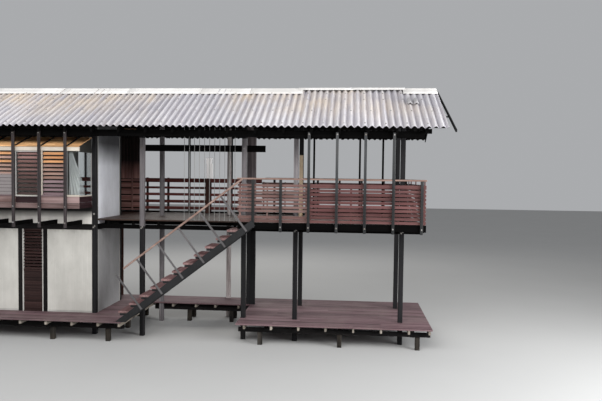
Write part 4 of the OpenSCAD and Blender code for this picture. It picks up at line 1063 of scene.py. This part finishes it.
for i in (-11, -9):
    x0, x1 = i * 0.6 + 0.034, (i + 1) * 0.6 - 0.034
    sash_frame(x0, x1, BY - 0.017, BY - 0.001, BZ1 - 0.006, BZ2 - 0.004)
    pane((x0 + 0.016, BY - 0.011, BZ1 + 0.016), (x1 - 0.016, BY - 0.011, BZ1 + 0.016), (x1 - 0.016, BY - 0.011, BZ2 - 0.026), (x0 + 0.016, BY - 0.011, BZ2 - 0.026), (0, 1, 0))
x0, x1 = -4.2 + 0.038, BOXR - 0.002
pane((x0, BY + 0.012, BZ1 + 0.027), (x1, BY + 0.012, BZ1 + 0.027), (x1, BY + 0.012, BZ2), (x0, BY + 0.012, BZ2), (0, 1, 0))
for x in (BOXL + 0.004, BOXR - 0.010):
    pane((x, BY + 0.042, BZ1 + 0.027), (x, ROWF - H, BZ1 + 0.027), (x, ROWF - H, BZ2 - 0.021), (x, BY + 0.042, BZ2 - 0.021), (1, 0, 0))
for x in (BOXL + 0.001, BOXR - 0.016):
    boxb(sash, x, x + 0.015, ROWF - H - 0.026, ROWF - H - 0.001, BZ1 + 0.027, BZ2 - 0.021, 0.002, 0.0, 0.1, "z")
sash.make("bay_sashes", SASH, "window_metal", "bay_window_frame")
gl.make("bay_panes", GLASS, "window_glass", "bay_glass")

tops, mids, lows, dimmed = Soup(XS), Soup(XS), Soup(XS), Soup(XS)
for i in range(-12, -7):
    out = i % 2 == 0
    x0 = i * 0.6 + (0.059 if out else 0.040)
    x1 = (i + 1) * 0.6 - (0.027 if out else 0.039)
    y = BY + (0.034 if out else 0.070)
    for k in range(11):
        z = BZ1 + 0.062 + k * 0.0895 + R.uniform(-0.0015, 0.0015)
        if out and i in (-12, -10) and z < 3.70:
            continue
        an = math.radians(45 + R.uniform(-3, 3))
        q = k + R.uniform(-1.1, 1.1)
        # blades are sorted by height into the top, middle and low materials: painted light above, painted shade below;
        # those behind the glass go to the shaded copy
        dst = dimmed if not out else tops if q > 6.95 and (i == -8 or k % 2 == 0) else mids if q > 3.3 else lows
        # behind the glass the tone rises with height: painted light towards the top
        t = R.uniform(0.15, 1.0) if out else k / 10 * 0.8 + R.uniform(0.0, 0.2)
        bar(dst, (x0, y, z), (x1, y, z), 0.076, 0.008, (0, math.cos(an), math.sin(an)), 0.002, None, 0.0, t, 0.5, (0.0, R.uniform(-0.0015, 0.0015)))
tops.make("bay_louvres_top", LOUVT, "louvre_timber", "bay_louvres")
mids.make("bay_louvres_mid", LOUVM, "louvre_timber", "bay_louvres")
lows.make("bay_louvres_low", LOUVB, "louvre_timber", "bay_louvres")
dimmed.make("bay_louvres_behind_glass", LOUVS, "louvre_timber", "bay_louvres")
s, bk = Soup(XS), Soup(XS)
for i in (-12, -10):
    pit = (3.7305 - BZ1 - 0.027) / 6
    for q in range(6):
        za = BZ1 + 0.027 + q * pit
        boxb(s, i * 0.6 + 0.059, (i + 1) * 0.6 - 0.027, BY + 0.011 + 0.002 * (q % 2), BY + 0.019, za, za + pit - 0.006, 0.002, 0.001, R.uniform(0.0, 1.0), "x")
    boxb(bk, i * 0.6 + 0.059, (i + 1) * 0.6 - 0.027, BY + 0.0192, BY + 0.0215, BZ1 + 0.0275, 3.7300, 0.001, 0.0, 0.5, "x")
    boxb(s, i * 0.6 + 0.059, (i + 1) * 0.6 - 0.027, BY + 0.010, BY + 0.026, 3.731, 3.748, 0.002, 0.0, 0.2, "x")
s.make("bay_lower_panels", BLIND, "window_metal")
bk.make("bay_panel_backs", BLACK, "dark_frame")


# voile curtain drawn to the left of the last pane
def curtain():
    top, bot = BZ2 - 0.020, BZ1 + 0.040
    rows, cols, flat = 34, 150, 0.62
    nf = 6.5

    def width(v):
        ks = ((0.0, 0.080), (0.19, 0.140), (0.36, 0.205), (0.50, 0.262), (0.62, 0.345), (1.0, 0.520))
        for (a, wa), (c, wc) in zip(ks, ks[1:]):
            if v <= c:
                return wa + (wc - wa) * (v - a) / (c - a)
        return ks[-1][1]

    xa, ya, xc, rc = -4.184, BY + 0.105, BOXR - 0.052, 0.035

    def path(d, off):
        """A point d along the curtain's line, which turns the bay's corner, and off beside it."""
        l1, l2 = xc - rc - xa, math.pi / 2 * rc
        if d <= l1:
            return xa + d, ya + off
        if d <= l1 + l2:
            t = (d - l1) / rc
            return xc - rc + (rc - off) * math.sin(t), ya + rc - (rc - off) * math.cos(t)
        return xc - off, ya + rc + (d - l1 - l2)

    def amp(w):
        lo_, hi_ = 0.0, 0.08
        for _ in range(30):
            m_ = (lo_ + hi_) / 2
            ln = 0.0
            px, py = 0.0, 0.0
            for q in range(1, 301):
                u = q / 300
                x_, y_ = w * u, m_ * math.sin(2 * math.pi * nf * u)
                ln += math.hypot(x_ - px, y_ - py)
                px, py = x_, y_
            if ln < flat:
                lo_ = m_
            else:
                hi_ = m_
        return (lo_ + hi_) / 2

    amps = [amp(width(i / rows)) for i in range(rows + 1)]
    co, gr = [], []
    for i in range(rows + 1):
        v = i / rows
        w = width(v)
        for j in range(cols + 1):
            u = j / cols
            x, y = path(w * u, min(amps[i], 0.032) * math.sin(2 * math.pi * nf * u + 0.5 * math.sin(3 * v)) + 0.002 * noise.noise(Vector((u * 4, v * 3, 1))))
            co.append((x + XS, y, top - (top - bot) * v))
            gr.append((u * flat, v * (top - bot), 0))
    fs = [(i * (cols + 1) + j, (i + 1) * (cols + 1) + j, (i + 1) * (cols + 1) + j + 1, i * (cols + 1) + j + 1) for i in range(rows) for j in range(cols)]
    me = bpy.data.meshes.new("bay_curtain")
    me.from_pydata(co, [], fs)
    a = me.attributes.new("grain", "FLOAT_VECTOR", "POINT")
    a.data.foreach_set("vector", np.array(gr, np.float32).ravel())
    me.polygons.foreach_set("use_smooth", [True] * len(me.polygons))
    me.materials.append(VOILE)
    me.update()
    o = bpy.data.objects.new("bay_curtain", me)
    bpy.context.scene.collection.objects.link(o)
    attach(o, "root")
    ar = sum(p.area for p in me.polygons)
    return ar


s = Soup(XS)
lathe(s, (-4.195, BY + 0.105, BZ2 - 0.014), (1, 0, 0), [(0, 0.005), (0.29, 0.005)], 10, 0.4)
s.make("curtain_rod", ROD, "rod_steel")
curtain_area = curtain()

# lean-to roof over the bay: boards with dark ribs
ly0, lz0, ly1, lz1 = BY - 0.012, BZ3, ROWF - H, 4.592
dirv = Vector((0, ly1 - ly0, lz1 - lz0))
dl = dirv.length
dirv.normalize()
s = Soup(XS)
nb = 8
for k in range(nb):
    a, b = k * dl / nb, (k + 1) * dl / nb - 0.0015
    m_ = Vector((0, ly0, lz0)) + dirv * ((a + b) / 2) + Vector((0, -dirv.z, dirv.y)) * 0.009
    xs_ = [BOXL - 0.012] + sorted(R.sample([-6.9, -6.3, -5.7, -5.1, -4.5], 2)) + [BOXR]
    for p, q in zip(xs_, xs_[1:]):
        bar(s, (p, m_.y, m_.z), (q - 0.0008, m_.y, m_.z), b - a, 0.015, dirv, 0.002, None, 0.0, R.random())
s.make("bay_roof_boards", LINE, "lining_board", "bay_roof")
s = Soup(XS)
for i in range(-12, -6):
    x = i * 0.6 + 0.040
    p0 = Vector((x, ly0, lz0)) + Vector((0, -dirv.z, dirv.y)) * 0.029
    bar(s, p0, p0 + dirv * dl, 0.024, 0.030, (1, 0, 0), 0.003, None, 0.0)
s.make("bay_roof_ribs", DARK, "dark_frame", "bay_roof")

# ------------------------------------------------------------------ back gallery and storage screens
s, sb = Soup(XS), Soup(XS)
for z0, z1 in ((2.752, 2.817), (2.831, 3.001), (3.015, 3.184), (3.198, 3.373), (3.387, 3.542), (3.556, 3.638)):
    for a, b in ((-4.740, -4.026), (-4.024, -3.690)):
        t = R.uniform(0.1, 1.0)
        boxb(s, a, b, OY - 0.022, OY - 0.0122, z0 + 0.011, z1 - 0.013, 0.003, 0.0015, t, "x")
        boxb(sb, a, b, OY - 0.0095, OY - 0.0005, z0 + 0.011, z1 - 0.013, 0.003, 0.0015, t, "x")
n = 11
w = 1.050 / n
for k in range(n):
    x = -4.740 + k * w
    t = R.uniform(0.0, 0.9)
    boxb(s, x + 0.001, x + w - 0.003, OY - 0.021 + (0.002 if k % 2 else 0), OY - 0.0122, 3.646, 4.850, 0.003, 0.001, t, "z")
    boxb(sb, x + 0.001, x + w - 0.003, OY - 0.0118, OY - 0.002, 3.646, 4.850, 0.003, 0.001, t, "z")
for x in (-4.740, -4.045, -3.730):
    boxb(s, x, x + 0.040, OY - 0.044, OY - 0.0225, ZF + 0.040, 4.840, 0.003, 0.001, 0.0, "z")
# the front-facing boards take GSCR with its painted shade near the top; the outer half keeps plain colour
s.make("gallery_screen_made", GSCR, "red_board", "gallery_screen")
sb.make("gallery_screen_outer", GSCRB, "red_board", "gallery_screen")
s = Soup(XS)
boxb(s, -4.736, -3.694, OY - 0.0120, OY - 0.0097, 2.754, 3.6455, 0.0, 0.0, 0.2, "x")
s.make("gallery_screen_backing", BLACK, "red_board", "gallery_screen")
s = Soup(XS)
n = 6
w = 0.665 / n
for k in range(n):
    x = -4.640 + k * w
    boxb(s, x + 0.001, x + w - 0.004, 1.0005, 1.0235, DT, JZ, 0.004, 0.002, None, "z")
for z in (0.75, 1.55, 2.35):
    boxb(s, -4.640, -3.975, 0.981, 1.000, z - 0.035, z + 0.035, 0.003, 0.001, None, "x")
s.make("storage_screen_made", REDB, "red_board", "storage_screen")

# ------------------------------------------------------------------ stair
RISE, GO, SX = (ZF - DT) / 12, 0.242, -0.256
SK = RISE / GO
s, br = Soup(XS), Soup(XS)
for k in range(1, 12):
    x, z = SX - GO * k + 0.073, ZF - RISE * k + 0.073 * SK
    for a, b in ((x - GO / 2 - 0.014, x - 0.003), (x + 0.001, x + GO / 2 + 0.014)):
        boxb(s, a, b, -1.850, -1.223, z - 0.045, z + R.uniform(-0.001, 0.001), 0.005, 0.0015, None, "y")
    for y, sg in ((-1.8495, 1), (-1.2235, -1)):
        boxb(br, x - 0.100, x + 0.100, min(y, y + sg * 0.040), max(y, y + sg * 0.040), z - 0.051, z - 0.0455, 0.001, 0.0, 0.5, "x")
        boxb(br, x - 0.100, x + 0.100, min(y, y + sg * 0.005), max(y, y + sg * 0.005), z - 0.095, z - 0.0515, 0.001, 0.0, 0.5, "x")
    for dx in (-0.07, 0.07):
        for y, sg in ((-1.888, -1), (-1.185, 1)):
            bolt(br, (x + dx, y, z - 0.073), (0, sg, 0), 0.006, R.random())
s.make("stair_treads_made", TREAD, "tread_timber", "stair_treads")
br.make("stair_brackets", STEEL, "stair_steel")

# plain box lantern on the rail post: a lower shell, a narrower upper shell and a lid
s = Soup(XS)
boxb(s, -1.873, -1.717, 1.652, 1.773, 3.6725, 4.085, 0.004, 0.001, 0.3, "z")
boxb(s, -1.886, -1.742, 1.650, 1.768, 4.0855, 4.205, 0.004, 0.001, 0.6, "z")
boxb(s, -1.898, -1.722, 1.643, 1.782, 4.2055, 4.230, 0.003, 0.001, 0.6, "x")
s.make("post_lantern_made", LAMP, "lantern_shell", "post_lantern")

# ------------------------------------------------------------------ slatted screens
def slat_row(s, x0, x1, side, z, h, tones, joints=()):
    y0, y1 = (-OY, -OY + 0.020) if side < 0 else (OY - 0.020, OY)
    for a, b in zip([x0] + list(joints), list(joints) + [x1]):
        t = min(1.0, max(0.0, R.gauss(tones, 0.22)))
        boxb(s, a + (0.001 if a != x0 else 0), b - (0.001 if b != x1 else 0), y0 + R.uniform(0, 0.0015), y1 - R.uniform(0, 0.0015), z, z + h, 0.0025, 0.0022, t, "x", (R.uniform(-0.004, 0.004), R.uniform(-0.0045, 0.0045)), R.uniform(-0.03, 0.03))


for side, node in ((-1, "slat_screen_front"), (1, "slat_screen_back")):
    a, b, bat = Soup(XS), Soup(XS), Soup(XS)
    for i in range(10):
        z, h = 2.760 + (i * 0.072 if i < 2 else 0.064 + i * 0.079), 0.066 if i < 2 else 0.050
        slat_row(a, VL + R.uniform(-0.006, 0.012), 1.170, side, z, h, 0.5)
        slat_row(b, 1.215, 3.650, side, 2.760 + i * 0.0835, 0.084 if i == 9 else 0.062 - R.uniform(0, 0.004), 0.62 if i == 9 else 0.42)
    ys = (-OY + 0.020, -OY + 0.045) if side < 0 else (OY - 0.045, OY - 0.020)
    for x in (-0.310, 0.290, 1.130):
        boxb(a, x, x + (0.030 if x == 0.290 else 0.040), ys[0], ys[1], 2.752, 3.600, 0.003, 0.001, None, "z")
    for x in (1.215, 2.090, 2.990, 3.610):
        boxb(b, x, x + 0.040, ys[0], ys[1], 2.752, 3.595, 0.003, 0.001, None, "z")
    for x in (0.6, 1.17 + 0.03, 1.8, 2.4, 3.0):
        for i in range(10):
            z = 2.760 + (0.033 + i * 0.072 if i < 2 else 0.089 + i * 0.079) if x < 1.2 else 2.793 + i * 0.0835
            screw(bat, (x + (0.034 if x > 0.61 else 0.036), -OY if side < 0 else OY, z), (0, side, 0), 0.004)
    a.make(node + "_open", SLATL, "slat_timber", node)
    b.make(node + "_close", SLAT, "slat_timber", node)
    bat.make(node + "_screws", DSCREW, "rod_steel")
s = Soup(XS)
for i in range(10):
    t = min(1.0, max(0.0, R.gauss(0.45, 0.25)))
    h = 0.084 if i == 9 else 0.062 - R.uniform(0, 0.004)
    for a, b in ((-1.745, 0.019), (0.021, 1.745)):
        boxb(s, VR - 0.022, VR - 0.002, a, b, 2.760 + i * 0.0835, 2.760 + i * 0.0835 + h, 0.0025, 0.0022, t, "y", (R.uniform(-0.003, 0.003), R.uniform(-0.004, 0.004)), R.uniform(-0.02, 0.02))
for y in (-1.745, -1.100, 0.0, 1.100, 1.705):
    boxb(s, VR - 0.047, VR - 0.022, y, y + 0.040, ZF, 3.680, 0.003, 0.001, None, "z")
s.make("slat_screen_end_made", SLAT, "slat_timber", "slat_screen_end")

# ------------------------------------------------------------------ ceiling lining under the wing's roof
s = Soup(XS)
raftx = [-8.300] + [i * 0.6 + 0.025 for i in range(-13, 7)] + [4.000]
cut = [(x, x + 0.045) for x in raftx if WL - 0.05 < x < WR + 0.045]
for side in (-1, 1):
    y0, y1 = 0.022, 1.740
    n = 16
    for k in range(n):
        a, b = y0 + (y1 - y0) * k / n, y0 + (y1 - y0) * (k + 1) / n - 0.0015
        za, zb = sheet_z(a) - 0.041 / CS, sheet_z(b) - 0.041 / CS
        p = Vector((0, side * (a + b) / 2, (za + zb) / 2))
        d = Vector((0, side * (b - a), zb - za))
        x = WL - 0.045
        for c0, c1 in cut + [(WR + 0.045, WR + 0.045)]:
            if c0 - x > 0.01:
                bar(s, (x, p.y, p.z), (c0 - 0.0005, p.y, p.z), d.length, 0.011, d, 0.0015, None, 0.0, R.random())
            x = c1 + 0.0005
s.make("ceiling_lining_made", CEIL, "lining_board", "ceiling_lining")

# ------------------------------------------------------------------ corrugated roof, sheet by sheet
RX0, PITCH, WD, TH = -8.355, 0.146, 0.050, 0.007
WAVES = 85


def on_slope(x, sd, n, side):
    """A point at slope distance sd from the eave and n above the rafters' line."""
    return (x, side * (EY - sd * CS + n * SN), EZ + sd * SN + n * CS)


def roof_sheets(side, name, node):
    s = Soup(XS)
    seg = 12
    rows = [0.0, 0.02, 0.11, 0.35, 0.60, 0.82, 1.05, 1.30, 1.53, 1.80, 2.05, SL]
    for j in range(0, WAVES, 7):
        w0, w1 = j, min(j + 7, WAVES)
        ext = 0.5 if w1 < WAVES else 0.30
        nseg = int(round((w1 - w0 + ext) * seg))
        e0 = R.uniform(-0.006, 0.004)
        tone = R.random()
        chips = {R.randrange(nseg) for _ in range(3)}
        top, bot = [], []
        grt, tn = [], []
        for r_, sd in enumerate(rows):
            for q in range(nseg + 1):
                u = q / nseg
                x = RX0 + (w0 + q / seg) * PITCH
                ph = 2 * math.pi * q / seg
                n0 = WD / 2 * (1 - math.cos(ph))
                slope = math.pi * WD / PITCH * math.sin(ph)
                th = TH * math.sqrt(1 + slope * slope)
                lift = 0.0095 * (1 - u) if j else 0.0
                wv = 0.0022 * noise.noise(Vector((x * 0.8, sd * 0.7, side * 4.0)))
                s0 = sd
                if r_ == 0:
                    s0 = e0 + 0.003 * noise.noise(Vector((x * 9, side, 2)))
                    if q in chips:
                        s0 += 0.012
                if r_ == 1:
                    s0 = 0.02 + e0
                if r_ == len(rows) - 1:
                    s0 = SL - 0.012
                bot.append(on_slope(x, s0, n0 + lift + wv, side))
                top.append(on_slope(x, s0, n0 + th + lift + wv, side))
                grt.append((x, sd, n0 / WD))
                tn.append(tone)
        m = nseg + 1
        k = len(rows)
        fs, sm = [], []

        def quad(a, b, c, d, smooth=True):
            fs.append((a, b, c, d) if side < 0 else (d, c, b, a))
            sm.append(smooth)

        nt = len(top)
        for r_ in range(k - 1):
            for q in range(nseg):
                a, b, c, d = r_ * m + q, r_ * m + q + 1, (r_ + 1) * m + q + 1, (r_ + 1) * m + q
                quad(a, b, c, d)
                quad(nt + d, nt + c, nt + b, nt + a)
        for q in range(nseg):
            quad(nt + q, nt + q + 1, q + 1, q, False)
            e = (k - 1) * m
            quad(e + q, e + q + 1, nt + e + q + 1, nt + e + q, False)
        for r_ in range(k - 1):
            a, d = r_ * m, (r_ + 1) * m
            quad(nt + a, a, d, nt + d, False)
            a, d = r_ * m + nseg, (r_ + 1) * m + nseg
            quad(a, nt + a, nt + d, d, False)
        # the underside gets grain z of -1, which selects the roof material's near-black painted shade
        s.add(top + bot, fs, grt + [(g[0], g[1], -1.0) for g in grt], tn + tn, 0.0, sm)
    return s.make(name, ROOF, "roof_sheet", node)


roof_sheets(-1, "roof_sheets_front_made", "roof_sheets_front")
roof_sheets(1, "roof_sheets_back_made", "roof_sheets_back")

s = Soup(XS)
for side in (-1, 1):
    nrm = (0, side * SN, CS)
    for sd in (0.132, 0.842, 1.552, SL - 0.30):
        for k in range(1, WAVES, 3):
            kk = k + (1 if sd > 0.5 and sd < 1.0 else 0)
            if kk >= WAVES:
                continue
            x = RX0 + (kk + 0.5) * PITCH + R.uniform(-0.006, 0.006)
            p = on_slope(x, sd + R.uniform(-0.008, 0.008), WD + TH + (0.0095 if kk % 7 < 4 else 0.003), side)
            lathe(s, p, nrm, [(-0.006, 0.017), (0.0015, 0.017), (0.003, 0.010), (0.0075, 0.009), (0.011, 0.0055)], 8, R.random())
s.make("roof_bolts", ZINC, "ridge_metal")


# ridge cap in lapped lengths; the middle part is narrower and sits a little higher
def cap_piece(s, x0, x1, wing, lift, tone, side_roll=0.022):
    m = max(2, int((x1 - x0) / 0.25) + 1)
    prof = []
    base = WD + TH + 0.001
    for y in (-wing, -wing * 0.5, -0.05):
        prof.append((y, sheet_z(abs(y)) + base / CS + lift))
    for a in (-60, -30, 0, 30, 60):
        t = math.radians(a)
        prof.append((side_roll * math.sin(t) * 1.6, sheet_z(0) + base / CS + lift - 0.017 + side_roll * math.cos(t)))
    for y in (0.05, wing * 0.5, wing):
        prof.append((y, sheet_z(abs(y)) + base / CS + lift))
    n = len(prof)
    co, gr = [], []
    for i in range(m):
        x = x0 + (x1 - x0) * i / (m - 1)
        for y, z in prof:
            dz = 0.003 * noise.noise(Vector((x * 1.5, y * 3, 7)))
            co.append((x, y, z + 0.004 + dz))
            gr.append((x, y, z))
    for i in range(m):
        x = x0 + (x1 - x0) * i / (m - 1)
        for y, z in prof:
            dz = 0.003 * noise.noise(Vector((x * 1.5, y * 3, 7)))
            co.append((x, y, z + dz))
            gr.append((x, y, z))
    N = m * n
    fs, sm = [], []
    for i in range(m - 1):
        for q in range(n - 1):
            a, b, c, d = i * n + q, (i + 1) * n + q, (i + 1) * n + q + 1, i * n + q + 1
            fs += [(a, b, c, d), (N + d, N + c, N + b, N + a)]
            sm += [True, True]
        fs += [(i * n, N + i * n, N + (i + 1) * n, (i + 1) * n), (i * n + n - 1, (i + 1) * n + n - 1, N + (i + 1) * n + n - 1, N + i * n + n - 1)]
        sm += [False, False]
    for q in range(n - 1):
        fs.append((q, q + 1, N + q + 1, N + q))
        e = (m - 1) * n
        fs.append((e + q + 1, e + q, N + e + q, N + e + q + 1))
        sm += [False, False]
    s.add(co, fs, gr, tone, 0.0, sm)


s = Soup(XS)
RX1 = RX0 + WAVES * PITCH + 0.045
xs_ = [RX0, -6.9, -5.15, -3.4, -1.65, -0.35, 0.86]
for i, (a, b) in enumerate(zip(xs_, xs_[1:])):
    cap_piece(s, a, b + 0.06, 0.317, 0.001 + 0.003 * (i % 2), R.random())
cap_piece(s, 0.80, 2.15, 0.110, 0.016, 0.3)
cap_piece(s, 2.09, 3.36, 0.104, 0.020, 0.6)
cap_piece(s, 3.30, RX1, 0.307, 0.006, 0.5)
for x in [v * 0.438 + RX0 + 0.219 for v in range(28)]:
    for sg in (-1, 1):
        wd_ = 0.08 if 0.8 < x < 3.3 else 0.265
        lf = 0.022 if 0.8 < x < 3.3 else 0.008
        lathe(s, (x, sg * wd_, sheet_z(wd_) + (WD + TH) / CS + lf), (0, sg * SN, CS), [(0.0, 0.013), (0.002, 0.013), (0.005, 0.007), (0.009, 0.005)], 8, 0.5)
s.make("ridge_cap_made", RIDGE, "ridge_metal", "ridge_cap")

# two short offcuts laid over the crests near the right end
s = Soup(XS)
for kx in (80, 81):
    m, rws = 9, 5
    top, bot, gr = [], [], []
    for r_ in range(rws):
        sd = SL - 0.545 / CS - 0.42 + 0.36 * r_ / (rws - 1)
        for i in range(m):
            u = i / (m - 1)
            x = RX0 + (kx + 0.14 + 0.72 * u) * PITCH
            n0 = WD / 2 * (1 - math.cos(2 * math.pi * (0.14 + 0.72 * u)))
            lf = 0.024 + 0.030 * (1 - r_ / (rws - 1)) + 0.004 * noise.noise(Vector((x * 8, sd * 6, 2)))
            bot.append(on_slope(x, sd, n0 + TH + lf, -1))
            top.append(on_slope(x, sd, n0 + TH + lf + 0.018, -1))
            gr.append((x + 3, sd, n0 / WD))
    nt = len(top)
    fs = []
    for r_ in range(rws - 1):
        for i in range(m - 1):
            a, b, c, d = r_ * m + i, r_ * m + i + 1, (r_ + 1) * m + i + 1, (r_ + 1) * m + i
            fs += [(a, b, c, d), (nt + d, nt + c, nt + b, nt + a)]
    for i in range(m - 1):
        e = (rws - 1) * m
        fs += [(nt + i, nt + i + 1, i + 1, i), (e + i, e + i + 1, nt + e + i + 1, nt + e + i)]
    for r_ in range(rws - 1):
        a, d = r_ * m, (r_ + 1) * m
        fs += [(nt + a, a, d, nt + d), (a + m - 1, nt + a + m - 1, nt + d + m - 1, d + m - 1)]
    s.add(top + bot, fs, gr + gr, 0.2, 0.0, True)
s.make("roof_offcuts", LUMP, "roof_sheet")


# ------------------------------------------------------------------ stage, light, camera
def plain_floor():
    me = bpy.data.meshes.new("stage_floor")
    k = 60.0
    me.from_pydata([(-k, -k, 0), (k, -k, 0), (k, k, 0), (-k, k, 0)], [], [(0, 1, 2, 3)])
    o = bpy.data.objects.new("stage_floor", me)
    bpy.context.scene.collection.objects.link(o)
    m = Mat("stage_floor", 0.9)
    m.p.inputs["Specular IOR Level"].default_value = 0.1
    me.materials.append(m.done(m.mix(m.noise(m.obj(), 0.4, 3.0), (0.42, 0.42, 0.415), (0.45, 0.45, 0.445))))


plain_floor()
world = bpy.data.worlds.new("studio")
bpy.context.scene.world = world
world.use_nodes = True
bg = world.node_tree.nodes["Background"]
bg.inputs[0].default_value = (0.95, 0.97, 1.0, 1)
bg.inputs[1].default_value = 0.42


def area(name, loc, target, size, power, col=(1, 1, 1)):
    d = bpy.data.lights.new(name, "AREA")
    d.energy = power
    d.color = col
    d.shape = "RECTANGLE"
    d.size, d.size_y = size
    o = bpy.data.objects.new(name, d)
    bpy.context.scene.collection.objects.link(o)
    o.location = loc
    o.rotation_mode = "QUATERNION"
    o.rotation_quaternion = (Vector(target) - Vector(loc)).to_track_quat("-Z", "Y")


area("key", (0.5, -13.0, 11.0), (-0.5, 0, 3.0), (12.0, 8.0), 1800, (1.0, 0.99, 0.975))
area("fill", (-11.0, -10.0, 11.0), (-2, 0, 3.0), (8.0, 4.0), 600, (0.95, 0.97, 1.0))
area("side", (13.0, -7.0, 4.5), (-3.5, 0, 3.2), (7.0, 5.0), 1600, (0.98, 0.99, 1.0))
area("back", (-2.0, 12.0, 11.0), (0, 0, 3.0), (12.0, 6.0), 900, (1.0, 0.97, 0.92))

yaw, pit, rol = math.radians(-4.702), math.radians(-2.313), math.radians(0.713)
fwd = Vector((math.sin(yaw) * math.cos(pit), math.cos(yaw) * math.cos(pit), math.sin(pit)))
right = Vector((math.cos(yaw), -math.sin(yaw), 0))
up = right.cross(fwd)
r = right * math.cos(rol) + up * math.sin(rol)
u = -right * math.sin(rol) + up * math.cos(rol)
cam = bpy.data.cameras.new("photo_view")
cam.sensor_fit = "HORIZONTAL"
cam.sensor_width = 36.0
cam.lens = 592.8 / 602 * 36.0
cam.clip_end = 300
co = bpy.data.objects.new("photo_view", cam)
bpy.context.scene.collection.objects.link(co)
m = Matrix.Identity(4)
for i in range(3):
    m[i][0], m[i][1], m[i][2] = r[i], u[i], -fwd[i]
m[0][3], m[1][3], m[2][3] = 2.082 + XS, -14.471, 3.757
co.matrix_world = m
bpy.context.scene.camera = co
bpy.context.scene.view_settings.view_transform = "Standard"
